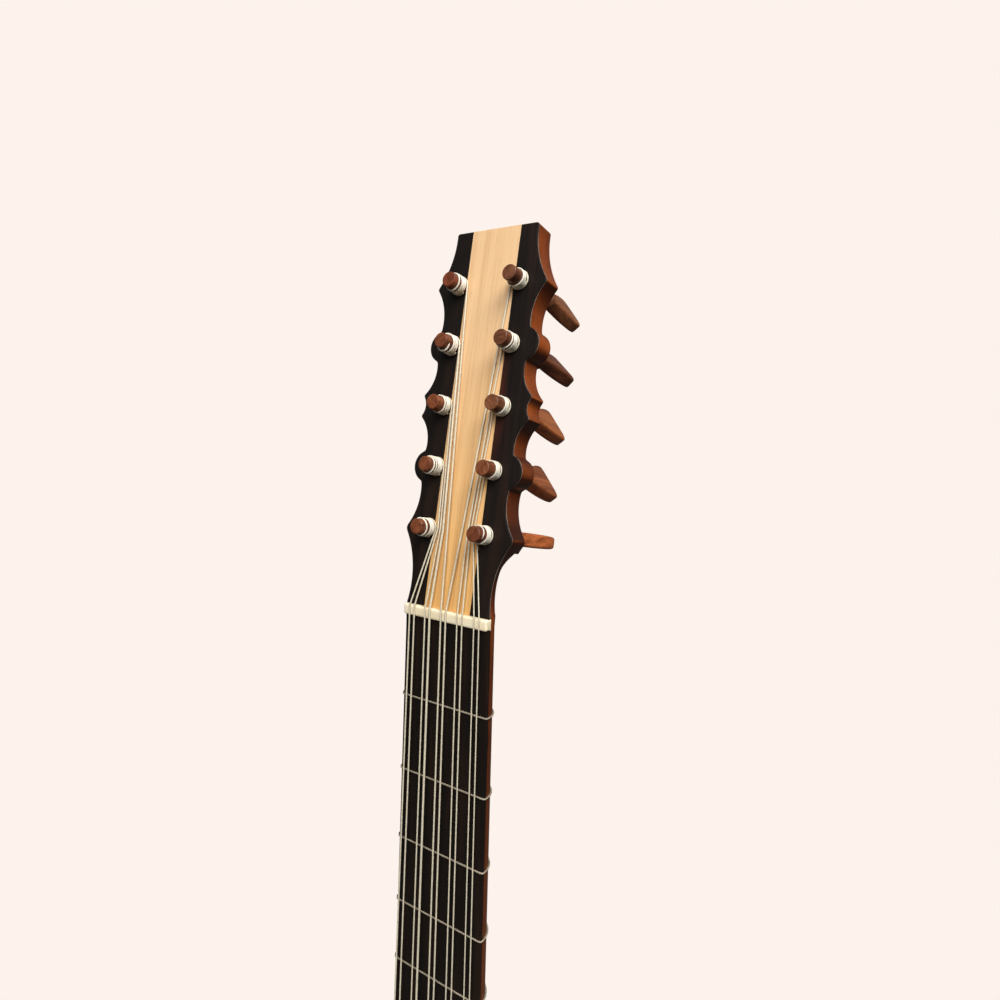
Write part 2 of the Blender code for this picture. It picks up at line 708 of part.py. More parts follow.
def peg_rings():
    """Rings of a peg from its end disc, through the shank and collar, to the handle."""
    collar = -HEAD_THICKNESS - HANDLE_START
    shank = peg_radius(collar)
    round_rings = [
        (PEG_PROUD, PEG_END_RADIUS - PEG_BEVEL),
        (PEG_PROUD - PEG_BEVEL, PEG_END_RADIUS),
        (collar + COLLAR_HALF, shank),
        (collar, shank + COLLAR_PROUD),
        (collar - COLLAR_HALF, shank - COLLAR_PROUD / 2),
    ]
    rings = [oval_ring(height, radius, radius) for height, radius in round_rings]
    for share, width, thickness in HANDLE_SHAPE:
        rings.append(oval_ring(collar - HANDLE_LENGTH * share, HANDLE_HALF_WIDTH * width,
                               HANDLE_HALF_THICK * thickness))
    return rings


def wrap_height(radius):
    """How far over the face a string's last, still turn lies."""
    return GAP + radius


def wrap_around(radius):
    """How far a string's turns lie from their peg's axis."""
    return peg_radius(0) + GAP + radius


def winding_points(radius, start):
    """A string's turns round a peg, rising from its still turn, each end straight for
    one diameter of the string."""
    rise = (2 * radius + WINDING_SPACE) / WINDING_STEPS
    base = wrap_height(radius) + 2 * radius + GAP
    around = wrap_around(radius)
    points = []
    for i in range(round(WINDING_TURNS * WINDING_STEPS) + 1):
        turn = start + 2 * math.pi * i / WINDING_STEPS
        points.append(Vector((around * math.cos(turn), around * math.sin(turn),
                              base + rise * i)))
    first = points[0] + (points[0] - points[1]).normalized() * 2 * radius
    last = points[-1] + (points[-1] - points[-2]).normalized() * 2 * radius
    return [first] + points + [last]


def string_route(index):
    """The side and row of a string's peg. The outer strings go to the lowest pegs."""
    if index < ROWS:
        return -1, index
    return 1, STRING_COUNT - 1 - index


def lead_points(index):
    """A string's way up the face before its last straight, as for the bass side: it
    leaves the nut, and the three strings between the lowest peg and the middle pair
    are led past that peg's turns side by side."""
    sign, row = string_route(index)
    radius = STRING_RADII[index]
    x = -abs(string_x(index, COURSE_SPACING_NUT, PAIR_SPACING_NUT))
    rise = -STRING_Y_NUT * math.cos(HEAD_TILT)
    points = [(x, STRING_Y_NUT * math.sin(HEAD_TILT), rise)]
    if 0 < row < ROWS - 1:
        passed = [STRING_RADII[k if sign < 0 else STRING_COUNT - 1 - k] for k in range(row)]
        lane = -peg_out(0) + peg_radius(0) + GAP + sum(2 * r + LANE_SPACE for r in passed)
        share = peg_row(0) / peg_row(row)
        height = rise + (wrap_height(radius) - rise) * share
        points.append((lane + radius, peg_row(0), height))
    return points


def wrap_tangent(index):
    """The centre of a string's turns on the face and the angle where the string meets
    them, as for a peg of the bass side."""
    row = string_route(index)[1]
    centre = Vector((-peg_out(row), peg_row(row)))
    span = centre - Vector(lead_points(index)[-1][:2])
    lean = math.asin(wrap_around(STRING_RADII[index]) / span.length)
    return centre, math.atan2(span.y, span.x) - lean - math.pi / 2


def string_points(index):
    """A string's whole route: from its end under the loop at the bridge's front, up
    over the bridge, through its hole, along to the nut and up to its peg."""
    radius = STRING_RADII[index]
    sign = string_route(index)[0]
    x_nut = string_x(index, COURSE_SPACING_NUT, PAIR_SPACING_NUT)
    x_end = string_x(index, COURSE_SPACING_BRIDGE, PAIR_SPACING_BRIDGE)
    over = -BRIDGE_HEIGHT - GLUE - GAP - radius
    under = -STRING_RISE_BRIDGE
    front = -STRING_LENGTH
    rear = front - BRIDGE_DEPTH
    away = radius + GAP + LOOP_OUT
    points = [
        (x_end, under - 2 * radius - LOOP_BEND, front + away),
        (x_end, over + LOOP_BEND / 2, front + away),
        (x_end, over, front - LOOP_BEND / 2),
        (x_end, over, rear),
        (x_end, over + LOOP_BEND, rear - away),
        (x_end, under - LOOP_BEND, rear - away - LOOP_BEND / 2),
        (x_end, under, rear - away),
        (x_end, under, front),
        (x_nut, STRING_Y_NUT, 0),
        (x_nut, STRING_Y_NUT, NUT_LENGTH - GAP),
    ]
    centre, angle = wrap_tangent(index)
    around = wrap_around(radius)
    face = lead_points(index)[1:]
    for i in range(WRAP_STEPS + 1):
        turn = angle + WRAP_ANGLE * i / WRAP_STEPS
        face.append((centre.x + around * math.cos(turn),
                     centre.y + around * math.sin(turn), wrap_height(radius)))
    before = Vector(face[-2])
    last = Vector(face[-1])
    face.append(tuple(last + (last - before).normalized() * 2 * radius))
    points += [tuple(HEAD_FRAME @ Vector((-sign * x, s, h))) for x, s, h in face]
    return points


def make_strings_and_pegs():
    rings = peg_rings()
    turns = {-1: LEFT_TURNS, 1: RIGHT_TURNS}
    gaps = []
    for index, radius in enumerate(STRING_RADII):
        sign, row = string_route(index)
        tag = ("left_" if sign < 0 else "right_") + str(row + 1)
        peg = loft("peg_" + tag, rings, ROSEWOOD)
        turn = Matrix.Rotation(-math.radians(turns[sign][row]), 4, "Z")
        peg.matrix_world = peg_frame(sign, row) @ turn
        points = winding_points(radius, wrap_tangent(index)[1] + math.pi)
        if sign > 0:
            points = [Vector((-p.x, p.y, p.z)) for p in points]
        gaps.append(least_gap(points, 2 * radius))
        winding = tube("winding_" + tag, points, radius, GUT)
        winding.parent = peg
        winding.matrix_parent_inverse = peg.matrix_world.inverted() @ peg_frame(sign, row)
        tube("string_" + str(index + 1), string_points(index), radius, GUT)
        gaps.append(least_gap(string_points(index), 2 * radius))
    print("least gap of a winding or string to itself, mm:", round(min(gaps) * 1000, 3))


def fret_points(number):
    """A tied fret: from the neck's bass side over the fingerboard, round the neck, and
    back to where it began, so that its two ends lie side by side there."""
    z = -STRING_LENGTH * (1 - 2 ** (-number / 12))
    out = GAP + FRET_RADIUS
    half = board_half(z) + out
    beside = -2 * FRET_RADIUS - WINDING_SPACE
    back = neck_arc(z, out, FRET_STEPS)
    over = [(-half, 0, z), (FRET_CORNER - half, -out, z), (half - FRET_CORNER, -out, z),
            (half, 0, z)]
    count = len(back) - 1 - FRET_TAILS
    round_neck = [(x, y, z + beside * min(i / count, 1))
                  for i, (x, y, z) in enumerate(back[:-1])]
    return back[-FRET_TAILS - 1:] + over + round_neck


def make_frets():
    gaps = []
    for number in range(1, FRET_COUNT + 1):
        points = fret_points(number)
        gaps.append(least_gap(points, 2 * FRET_RADIUS))
        tube("fret_" + str(number), points, FRET_RADIUS, GUT)
    print("least gap of a tied fret to itself, mm:", round(min(gaps) * 1000, 3))


def rose_loops(x, y):
    """A pierced wheel: a rim, rings of six-sided petals and a hub."""
    loops = [circle(x, y, HOLE_RADIUS + ROSE_LAP, ROSE_SIDES), circle(x, y, ROSE_HUB, 8)]
    for count, out, long_half, short_half, phase in ROSE_RINGS:
        for i in range(count):
            angle = 2 * math.pi * (i + phase) / count
            way = Vector((math.cos(angle), math.sin(angle)))
            across = Vector((-way.y, way.x))
            petal = circle(0, 0, 1, PETAL_SIDES)
            spots = [way * (out + long_half * u) + across * short_half * v for u, v in petal]
            loops.append([(x + spot.x, y + spot.y) for spot in spots])
    return loops


def block_loop(half, level, at_top):
    """The outline of an end block, which follows the inside of the ribs."""
    side = body_side(RIB_INSET + RIB_THICKNESS + GAP)
    if not at_top:
        side = side[::-1]
    count = int(np.argmax(side[:, 0] > half))
    inner = side[count - 1]
    outer = side[count]
    share = (half - inner[0]) / (outer[0] - inner[0])
    edge = [tuple(p) for p in side[:count]]
    edge += [(half, inner[1] + share * (outer[1] - inner[1])), (half, level)]
    return edge + [(-x, z) for x, z in reversed(edge[1:])]


def make_bar(name, down, foot, rise):
    """A bar across the body, on the board at depth foot, scalloped at its ends."""
    z = BODY_TOP_Z - down
    inset = RIB_INSET + RIB_THICKNESS + GAP
    reach = min(inner_half(z - BAR_WIDTH / 2, inset), inner_half(z + BAR_WIDTH / 2, inset))
    tall = foot + rise * BAR_HEIGHT
    low = foot + rise * BAR_END_HEIGHT
    loop = [(-reach, foot), (reach, foot), (reach, low), (reach - BAR_RAMP, tall),
            (-reach + BAR_RAMP, tall), (-reach, low)]
    frame = Matrix.Translation((0, 0, z))
    plate(name, [loop], -BAR_WIDTH / 2, BAR_WIDTH / 2, frame, SPRUCE)


def make_body():
    rose_z = BODY_TOP_Z - ROSE_DOWN
    plate("soundboard", [body_loop(), circle(0, rose_z, HOLE_RADIUS, ROSE_SIDES)],
          -TOP_THICKNESS, 0, FRONT_FRAME, SPRUCE)
    under = -TOP_THICKNESS - GLUE
    plate("rose", rose_loops(0, rose_z), under - ROSE_THICKNESS, under, FRONT_FRAME, PARCHMENT)
    back_inner = -BODY_DEPTH + BACK_THICKNESS
    plate("back", [body_loop()], -BODY_DEPTH, back_inner, FRONT_FRAME, MAHOGANY)
    outer = body_side(RIB_INSET)
    inner = body_side(RIB_INSET + RIB_THICKNESS)
    waist = UPPER_STEPS + WAIST_STEPS
    for part, stretch in (("upper", slice(0, waist + 1)), ("lower", slice(waist, None))):
        wall = np.concatenate([outer[stretch], inner[stretch][::-1]])
        if part == "lower":
            wall[[0, -1], 1] -= GLUE
        for side, sign in (("right", 1), ("left", -1)):
            loop = [(sign * (x + GAP / 2), z) for x, z in wall]
            plate("rib_" + side + "_" + part, [loop], back_inner + GLUE, under, FRONT_FRAME,
                  MAHOGANY)
    plate("neck_block", [block_loop(NECK_BLOCK_HALF, BODY_TOP_Z - NECK_BLOCK_LENGTH, True)],
          back_inner + GAP, under - GLUE, FRONT_FRAME, LINDEN)
    plate("tail_block", [block_loop(TAIL_BLOCK_HALF, TAIL_Z + TAIL_BLOCK_LENGTH, False)],
          back_inner + GAP, under - GLUE, FRONT_FRAME, LINDEN)
    for number, down in enumerate(TOP_BARS):
        make_bar("top_bar_" + str(number + 1), down, TOP_THICKNESS + GLUE, 1)
    for number, down in enumerate(BACK_BARS):
        make_bar("back_bar_" + str(number + 1), down, -back_inner - GLUE, -1)


def make_bridge():
    """The bar that the strings are tied to, with a thin scrolled wing at each end."""
    front = -STRING_LENGTH
    rear = front - BRIDGE_DEPTH
    middle = (front + rear) / 2
    wing = []
    for out, up, bulge, steps in WING_OUTLINE:
        end = (BRIDGE_HALF + out, middle + up)
        wing += arc(wing[-1], end, bulge, steps) if bulge else [end]
    loop = wing + [(-x, z) for x, z in reversed(wing)]
    bridge = plate("bridge", [loop], GLUE, GLUE + WING_THICKNESS, FRONT_FRAME, EBONY)
    top = GLUE + BRIDGE_HEIGHT
    profile = [(rear, GLUE), (front, GLUE), (front, top - BRIDGE_EDGE),
               (front - BRIDGE_EDGE, top), (rear + BRIDGE_SLOPE, top),
               (rear, top - BRIDGE_SLOPE)]
    block = plate("bridge_block", [profile], -BRIDGE_HALF, BRIDGE_HALF, SIDE_FRAME, None,
                  CUTTERS)
    cut(bridge, as_cutter(block), "UNION")
    holes = []
    for index, radius in enumerate(STRING_RADII):
        x = string_x(index, COURSE_SPACING_BRIDGE, PAIR_SPACING_BRIDGE)
        wide = (radius + GAP) / math.cos(math.pi / 8)
        holes.append(((x, -STRING_RISE_BRIDGE, middle), (0, 0, 1), BRIDGE_DEPTH + 2 * ROOM,
                      wide, wide))
    cut(bridge, rod_cutter("string_holes", holes, 8))
    bridge.data.shade_flat()


make_head()
make_neck()
make_fingerboard()
make_nut()
make_strings_and_pegs()
make_frets()
make_body()
make_bridge()
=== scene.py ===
"""The looks of a five-course baroque guitar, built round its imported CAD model.

Lengths are in metres, in the CAD model's frame: +Z runs up the neck to the head, the
strings face -Y and the treble side is +X. The head's own frame has x across, s up the
face from the nut's upper edge, and h out of the face.
"""

import math

import bmesh
import bpy
import numpy as np
from mathutils import Matrix, Vector


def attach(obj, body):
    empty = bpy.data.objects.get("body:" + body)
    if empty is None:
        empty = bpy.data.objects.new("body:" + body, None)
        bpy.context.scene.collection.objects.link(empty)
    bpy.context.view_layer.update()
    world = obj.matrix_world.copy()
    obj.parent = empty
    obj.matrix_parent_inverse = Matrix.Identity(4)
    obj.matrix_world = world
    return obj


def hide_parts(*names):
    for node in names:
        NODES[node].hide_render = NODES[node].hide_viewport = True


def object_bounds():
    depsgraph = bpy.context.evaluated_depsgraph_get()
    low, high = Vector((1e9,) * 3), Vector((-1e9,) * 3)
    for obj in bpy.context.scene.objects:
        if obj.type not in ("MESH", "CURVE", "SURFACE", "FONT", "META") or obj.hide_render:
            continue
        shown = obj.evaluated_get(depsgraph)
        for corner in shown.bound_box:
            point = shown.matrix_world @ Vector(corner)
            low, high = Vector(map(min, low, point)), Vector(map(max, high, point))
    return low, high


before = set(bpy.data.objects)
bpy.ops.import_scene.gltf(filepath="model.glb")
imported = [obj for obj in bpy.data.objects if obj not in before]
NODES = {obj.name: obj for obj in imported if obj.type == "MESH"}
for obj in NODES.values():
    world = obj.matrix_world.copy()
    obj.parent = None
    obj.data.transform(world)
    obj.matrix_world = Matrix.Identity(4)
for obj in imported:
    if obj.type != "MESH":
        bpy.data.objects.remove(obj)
CAD_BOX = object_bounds()

# Camera, from the photograph's own perspective
CAMERA_PLACE = (0.1772129, -0.2338571, 0.0850066)
CAMERA_YAW = math.radians(32.8243)
CAMERA_PITCH = math.radians(5.7737)
CAMERA_ROLL = math.radians(2.0927)
FOCAL_PER_WIDTH = 0.6715751
SENSOR_WIDTH = 36.0

# Studio
FLOOR_Z = CAD_BOX[0].z - 0.0005
PAPER = (0.982, 0.896, 0.839)
FLOOR_TONE = (0.72, 0.655, 0.615)
FLOOR_BOUNCE = (0.10, 0.09, 0.08)
FLOOR_REACH = 6.0
FLOOR_FADE = (0.25, 0.62)  # distances from the middle between which paper takes over
WORLD_TONE = (1.0, 0.97, 0.94)
WORLD_LIGHT = 0.10
WORLD_GLOSS = 0.16

# Head and neck, as in the CAD model
NUT_WIDTH = 0.0462
NUT_LENGTH = 0.0050
NUT_PROUD = 0.0020
STRING_LENGTH = 0.690
STRING_RADII = (0.00038, 0.00038, 0.00036, 0.00052, 0.00040,
                0.00040, 0.00034, 0.00034, 0.00030, 0.00030)
NUT_SPACING = (0.0090, 0.0027)  # between courses, and between the strings of one
BRIDGE_SPACING = (0.0135, 0.0042)
LAST_STRING = len(STRING_RADII) - 1
STRING_Y_NUT = -0.00215
STRING_RISE_BRIDGE = 0.0062
LANE_SPACE = 0.0008  # between strings that pass the lowest peg side by side
LOOP_OUT = 0.0006  # how far a string's loop round the bridge stands off it
LOOP_BEND = 0.0008
SIDE_SWING = (0.012, 0.028)  # levels between which a tube's side direction swings
WRAP_ANGLE = math.radians(300)  # how far a string goes round its peg before the winding
WRAP_POINTS = 60
HEAD_TILT = math.radians(9.9)
HEAD_OUT = np.array((0, -math.cos(HEAD_TILT), math.sin(HEAD_TILT)))  # out of the face
HEAD_THICKNESS = 0.0116
FACE_THICKNESS = 0.0015
VENEER = 0.0007  # how thick the dark face looks at its edge
PALE_LINE = 0.0003  # and the line below it
HEAD_LENGTH = 0.1752
HEAD_TOP_HALF = 0.0221
SHOULDER = 0.0292  # up to here the plank's back is carved round, as the neck is
SHOULDER_ROLL = 0.0015  # how far the round would pass the plank's back there
SHOULDER_SQUARE = 12  # how much squarer the round is there than a half ellipse
SQUARE_FROM = 0.008  # from here up, over the nut
PLANK_FOOT = -0.062
FOOT_REACH = 0.003  # how far the face runs down before the nut's bed is cut
CORNER_WEAR = 1.9  # of the outline's corners, in steps
CARVE_INSET = 0.0001
CARVE_OVER = 0.002  # how far a cutter passes what it cuts
BACK_CUT = 0.12  # how far up and down the cutter at the head's back reaches
GLUE = 0.00012
GAP = 0.0003
CORE_FRONT = -(FACE_THICKNESS + 0.0005 + 2 * GLUE)
STRIPE_HALVES = (0.0127, 0.0131)  # at the nut and at the top
SEAM = 0.00004  # from the stripe's edge to the middle of the seam beside it
FINE = 0.00003  # an arris that is only just broken
ARRIS_RIM = 0.00008
PEG_ROWS = 5
PEG_ROW_FIRST = 0.0356  # the lowest row, from the nut's upper edge
PEG_ROW_STEP = 0.0284
PEG_OUT_FIRST = 0.0156  # from the centre line
PEG_OUT_GROWTH = 0.0007  # how much farther out the highest row is
PEG_END_RADIUS = 0.0035
PEG_TAPER = 1 / 60
PEG_PROUD = 0.0099
PEG_ROOM = 0.00012  # between a peg and its hole
SHANK_END = -0.0206
DISC_ROUND = 0.00045  # the arris of a peg's end disc, and of its handle's end
HANDLE_ROUND = 0.00035
TURNS = {-1: (45, 60, 20, 70, 35), 1: (0, 50, 50, 42, 50)}  # of the handles, in degrees
NUT_END = 0.0011  # how far in from its end the nut is rounded
NUT_FALL = 0.0009  # how far the round falls there
NUT_POWERS = (0.42, 0.36)  # that square off its half oval, along the neck and upwards
GROOVE_ROOM = 0.0001  # on each side of a string
GROOVE_SHALLOW = 0.00012  # how much less than its half width a groove is deep
BOARD_THICKNESS = 0.0015
BOARD_TAPER = 0.01  # growth of the half width per metre of neck
NECK_TOP = BOARD_THICKNESS + GLUE
NECK_LENGTH = STRING_LENGTH / 2 - 0.0020
NECK_DEPTHS = (0.0144, 0.0178)  # at the nut and at the heel's start
HEEL_START = 0.030  # length of the heel's curve above the body
HEEL_TOP = HEEL_START - NECK_LENGTH
HEEL_STOP = 0.999  # share of the heel's quarter ellipse that is used, short of upright
HEEL_SLIM = 0.3
BOARD_END = -NECK_LENGTH - 0.013
RUN_OUT = 0.0200  # how far the neck runs up behind the head, from the nut's upper edge
FRET_COUNT = 9
FRET_RADIUS = 0.0004
FRET_OUT = 0.00043  # from the neck to a fret's middle
FRET_CORNER = 0.0007
FRET_DRIFT = 0.0009  # from a fret's one end down to its other
KNOT_TURNS = 2.4
KNOT_START = 0.6  # the angle where the coil begins
KNOT_HALVES = (0.00085, 0.00095)  # of the coil's width, across the neck and along it
KNOT_DEPTH = 0.0009  # of its start under the board's face
KNOT_LENGTH = 0.0022
KNOT_TAIL = ((-0.0004, 0.0006, -0.0005), (-0.0009, 0.0010, -0.0012))  # from its end
KNOT_RADIUS = 0.00036
BODY_DEPTH = 0.085
BODY_TOP_Z = -NECK_LENGTH
TAIL_Z = -STRING_LENGTH - 0.0850
BODY_STEP = 0.0025
ROSE_Z = BODY_TOP_Z - 0.158
ROSE_LAP = 0.0035
ROSE_THICKNESS = 0.0011
ROSE_HUB = 0.0035
BEAD_RINGS = (0.0052, 0.0156, 0.0259, 0.0372, 0.0392)
BEAD_RISE = 0.00006  # of a bead's middle over the disc
BEAD_AWAY = 0.00032  # from an opening's edge to the middle of the bead round it
BEAD_RADII = (0.00028, 0.00036)  # of a bead round an opening and of one in a ring
HOLE_RADIUS = 0.0410
TOP_THICKNESS = 0.0018
BACK_THICKNESS = 0.0022
RIB_THICKNESS = 0.0018
RIB_INSET = 0.0004
PANEL_BAND = 0.012
PANEL_ROUND = 0.0005
BRIDGE_HEIGHT = 0.0090
BRIDGE_DEPTH = 0.0130
BRIDGE_HALF = 0.0430
BRIDGE_CUTS = (0.0022, 0.0010)  # how far its upper edges are taken off, rear and front
BRIDGE_DRILL_ROOM = 0.0002  # round a string
WING_THICKNESS = 0.0022


def peg_row(row):
    """How far up the face a row of pegs lies. Row 0 is the lowest."""
    return PEG_ROW_FIRST + PEG_ROW_STEP * row


def peg_out(row):
    """How far from the centre line a row's pegs stand, growing evenly up the head."""
    return PEG_OUT_FIRST + PEG_OUT_GROWTH * row / (PEG_ROWS - 1)


def peg_tag(sign, row):
    """A peg's side and row as they are in the names of its pieces."""
    return ("left_" if sign < 0 else "right_") + str(row + 1)


def peg_body(sign, row):
    """The body that turns with a peg."""
    return peg_tag(sign, row).replace("_", "_peg_")


def neck_half(z):
    """Half width of the neck and its board at a level z, widening evenly downwards."""
    return NUT_WIDTH / 2 - BOARD_TAPER * z


def peg_radius(height):
    """A peg's radius at a height over the face: it grows evenly towards the handle."""
    return PEG_END_RADIUS + PEG_TAPER * (PEG_PROUD - height)


def on_head(points):
    """From the head's own frame (across, up the face, out of it) to the model's."""
    x, s, h = np.moveaxis(np.asarray(points, float), -1, 0)
    sine, cosine = math.sin(HEAD_TILT), math.cos(HEAD_TILT)
    return np.stack([x, s * sine - h * cosine, NUT_LENGTH + s * cosine + h * sine], axis=-1)


def arc(start, end, bulge, count=40):
    """A round arc that swells to the right of the way from start to end: points at even
    angles on the circle through both whose height over their chord is the bulge."""
    start, end = np.array(start, float), np.array(end, float)
    way = end - start
    half = np.linalg.norm(way) / 2
    way /= 2 * half
    if not bulge:
        return start + np.linspace(0, 1, count)[:, None] * (end - start)
    radius = (half ** 2 + bulge ** 2) / (2 * abs(bulge))
    right = np.array((way[1], -way[0])) * math.copysign(1, bulge)
    centre = (start + end) / 2 - right * (radius - abs(bulge))
    a = np.linspace(-1, 1, count)[:, None] * math.asin(half / radius)
    return centre + radius * (right * np.cos(a) + way * np.sin(a))


def even(points, step):
    """The same line with its points at even distances of about a step."""
    along = np.r_[0, np.cumsum(np.linalg.norm(np.diff(points, axis=0), axis=1))]
    count = max(round(along[-1] / step), 2)
    where = np.linspace(0, along[-1], count + 1)
    return np.stack([np.interp(where, along, points[:, k]) for k in range(points.shape[1])], 1)


def soften(points, spread):
    """A line averaged along itself with a bell of that spread, in points. The ends stay,
    because the line is carried on past each end as its own point reflection."""
    reach = int(3 * spread) + 1
    bell = np.exp(-0.5 * (np.arange(-reach, reach + 1) / spread) ** 2)
    bell /= bell.sum()
    before = 2 * points[0] - points[reach:0:-1]
    after = 2 * points[-1] - points[-2:-reach - 2:-1]
    long = np.concatenate([before, points, after])
    return np.stack([np.convolve(long[:, k], bell, "valid") for k in range(long.shape[1])], 1)


def smooth_table(x, places, values):
    """A curve through a table's values: between two of them a cubic whose slopes are
    those of the chords beside each value."""
    places, values = np.array(places, float), np.array(values, float)
    slopes = np.gradient(values, places)
    i = np.clip(np.searchsorted(places, x, "right") - 1, 0, len(places) - 2)
    width = places[i + 1] - places[i]
    t = np.clip((x - places[i]) / width, 0, 1)
    return ((1 + 2 * t) * (1 - t) ** 2 * values[i] + t * (1 - t) ** 2 * width * slopes[i]
            + t ** 2 * (3 - 2 * t) * values[i + 1] + t ** 2 * (t - 1) * width * slopes[i + 1])


def mirrored(side):
    """A closed outline from its treble half, which starts and ends anywhere on X >= 0."""
    other = side[::-1] * (-1, 1)
    first = 1 if abs(side[-1, 0]) < 1e-9 else 0
    last = -1 if abs(side[0, 0]) < 1e-9 else None
    return np.concatenate([side, other[first:last]])


def inset(loop, distance):
    """A closed outline moved inwards, square to itself."""
    ways = np.roll(loop, -1, axis=0) - np.roll(loop, 1, axis=0)
    ways /= np.linalg.norm(ways, axis=1)[:, None]
    area = np.sum(loop[:, 0] * np.roll(loop[:, 1], -1) - np.roll(loop[:, 0], -1) * loop[:, 1])
    inwards = np.stack([-ways[:, 1], ways[:, 0]], axis=1) * math.copysign(1, area)
    return loop + inwards * distance


def arris(low, high, low_round, high_round, steps=5):
    """The edge of a plate as pairs of inset and height, underside to top: each arris is
    a quarter circle of its own radius, and a rim lies just inside each."""
    a = np.linspace(0, math.pi / 2, steps + 1)
    below = np.stack([low_round * (1 - np.sin(a)), low + low_round * (1 - np.cos(a))], 1)
    above = np.stack([high_round * (1 - np.cos(a)), high - high_round * (1 - np.sin(a))], 1)
    first = [(low_round + ARRIS_RIM, low)]
    last = [(high_round + ARRIS_RIM, high)]
    return np.concatenate([first, below, above, last])


HEAD_CORNERS = (  # the end of each arc up the treble edge, and its bulge
    ((0.0279, 0.0317), -0.0031), ((0.0292, 0.0353), 0.0004), ((0.0242, 0.0569), -0.0024),
    ((0.0242, 0.0711), 0.0053), ((0.0297, 0.0875), -0.0024), ((0.0297, 0.0973), -0.0020),
    ((0.0242, 0.1137), -0.0024), ((0.0242, 0.1279), 0.0053), ((0.0297, 0.1487), -0.0024),
    ((HEAD_TOP_HALF, HEAD_LENGTH), -0.0024))
OUTLINE_STEP = 0.0004


def head_side():
    """The head's scalloped treble edge from below the nut to the middle of its top:
    arcs through its corners, which are then worn round."""
    side = [np.array([(NUT_WIDTH / 2, -FOOT_REACH), (NUT_WIDTH / 2, 0)])]
    for end, bulge in HEAD_CORNERS:
        side.append(arc(side[-1][-1], end, bulge)[1:])
    side.append(np.array([(0, HEAD_LENGTH)]))
    return soften(even(np.concatenate(side), OUTLINE_STEP), CORNER_WEAR)


HEAD_SIDE = head_side()


def edge_half(s):
    """Half width of the head at a height s up its face."""
    rising = HEAD_SIDE[:np.argmax(HEAD_SIDE[:, 1]) + 1]
    return np.interp(s, rising[:, 1], rising[:, 0])


def plank_y(height, z):
    """Depth at a level z of the plane at a height over the head's face."""
    return (z - NUT_LENGTH) * math.tan(HEAD_TILT) - height / math.cos(HEAD_TILT)


def neck_round(z, grow=0.0, count=48):
    """Rounds of the neck at levels z, treble edge to bass edge: superellipses that
    are half as wide as the neck and as deep as its back line, squarer up to the
    shoulder and slimmer at the heel. The back line deepens evenly to the heel's
    quarter ellipse; above the nut it runs straight out to the plank's back."""
    z = np.atleast_1d(np.asarray(z, float))
    back = NECK_TOP + NECK_DEPTHS[0]
    shoulder = NUT_LENGTH + SHOULDER * math.cos(HEAD_TILT)
    end = plank_y(-HEAD_THICKNESS, shoulder) + SHOULDER_ROLL
    up = np.clip((z - NUT_LENGTH - RUN_OUT) / (shoulder - NUT_LENGTH - RUN_OUT), 0, None)
    plain = back + (NECK_DEPTHS[1] - NECK_DEPTHS[0]) * np.clip(z / HEEL_TOP, 0, 1)
    t = np.clip((HEEL_TOP - z) / HEEL_START, 0, 1)
    deep = plain + (BODY_DEPTH - plain) * (1 - np.sqrt(1 - (HEEL_STOP * t) ** 2))
    deep = np.where(z > 0, back + (end - back) * up, deep)
    s = (z - NUT_LENGTH - CORE_FRONT * math.sin(HEAD_TILT)) / math.cos(HEAD_TILT)
    width = np.where(z > NUT_LENGTH, edge_half(s) - CARVE_INSET, neck_half(np.minimum(z, 0)))
    width = (width + grow)[:, None]
    top = np.maximum(NECK_TOP, plank_y(CORE_FRONT, z))[:, None]
    start = NUT_LENGTH + SQUARE_FROM
    square = np.clip((z - start) / (shoulder - start), 0, 1)
    power = 2 / (2 + SHOULDER_SQUARE * square ** 9 - HEEL_SLIM * t)[:, None]
    angle = np.linspace(0, math.pi, count + 1)[None]
    c, s = np.cos(angle), np.clip(np.sin(angle), 0, None)
    x = width * np.sign(c) * np.abs(c) ** power
    y = top + (deep[:, None] + grow - top) * s ** power
    return np.stack([x, y, np.broadcast_to(z[:, None], x.shape)], axis=-1)


def bezier(start, leave, arrive, end, count=60):
    """A cubic curve, its pulls given as points."""
    t = np.linspace(0, 1, count + 1)[1:, None]
    a, b, c, d = (np.array(p, float) for p in (start, leave, arrive, end))
    return (1 - t) ** 3 * a + 3 * (1 - t) ** 2 * t * b + 3 * (1 - t) * t ** 2 * c + t ** 3 * d


BOUTS = (  # end of each stretch of the body's edge, and the pulls in shares of its reach
    ((0.1025, BODY_TOP_Z - 0.085), (0.64, 0), (0, 0.59)),
    ((0.0850, BODY_TOP_Z - 0.202), (0, 0.38), (0, 0.36)),
    ((0.1250, TAIL_Z + 0.103), (0, 0.37), (0, 0.48)),
    ((0, TAIL_Z), (0, 0.60), (0.62, 0)))


def body_outline():
    """The body's whole edge, clockwise from the middle of its top."""
    side = [np.array([(0, BODY_TOP_Z)])]
    for end, leave, arrive in BOUTS:
        start = side[-1][-1]
        reach = np.array(end) - start
        side.append(bezier(start, start + reach * leave, end - reach * arrive, end))
    return mirrored(even(np.concatenate(side), BODY_STEP))


BODY_EDGE = body_outline()


def add_object(name, data):
    """A new object in the scene."""
    made = bpy.data.objects.new(name, data)
    bpy.context.scene.collection.objects.link(made)
    return made


def discard(*spent):
    """Removes objects that are used up."""
    for made in spent:
        bpy.data.objects.remove(made)


def evaluated_mesh(made):
    """A new mesh of what an object's modifiers or curves come to."""
    bpy.context.view_layer.update()
    graph = bpy.context.evaluated_depsgraph_get()
    return bpy.data.meshes.new_from_object(made.evaluated_get(graph))


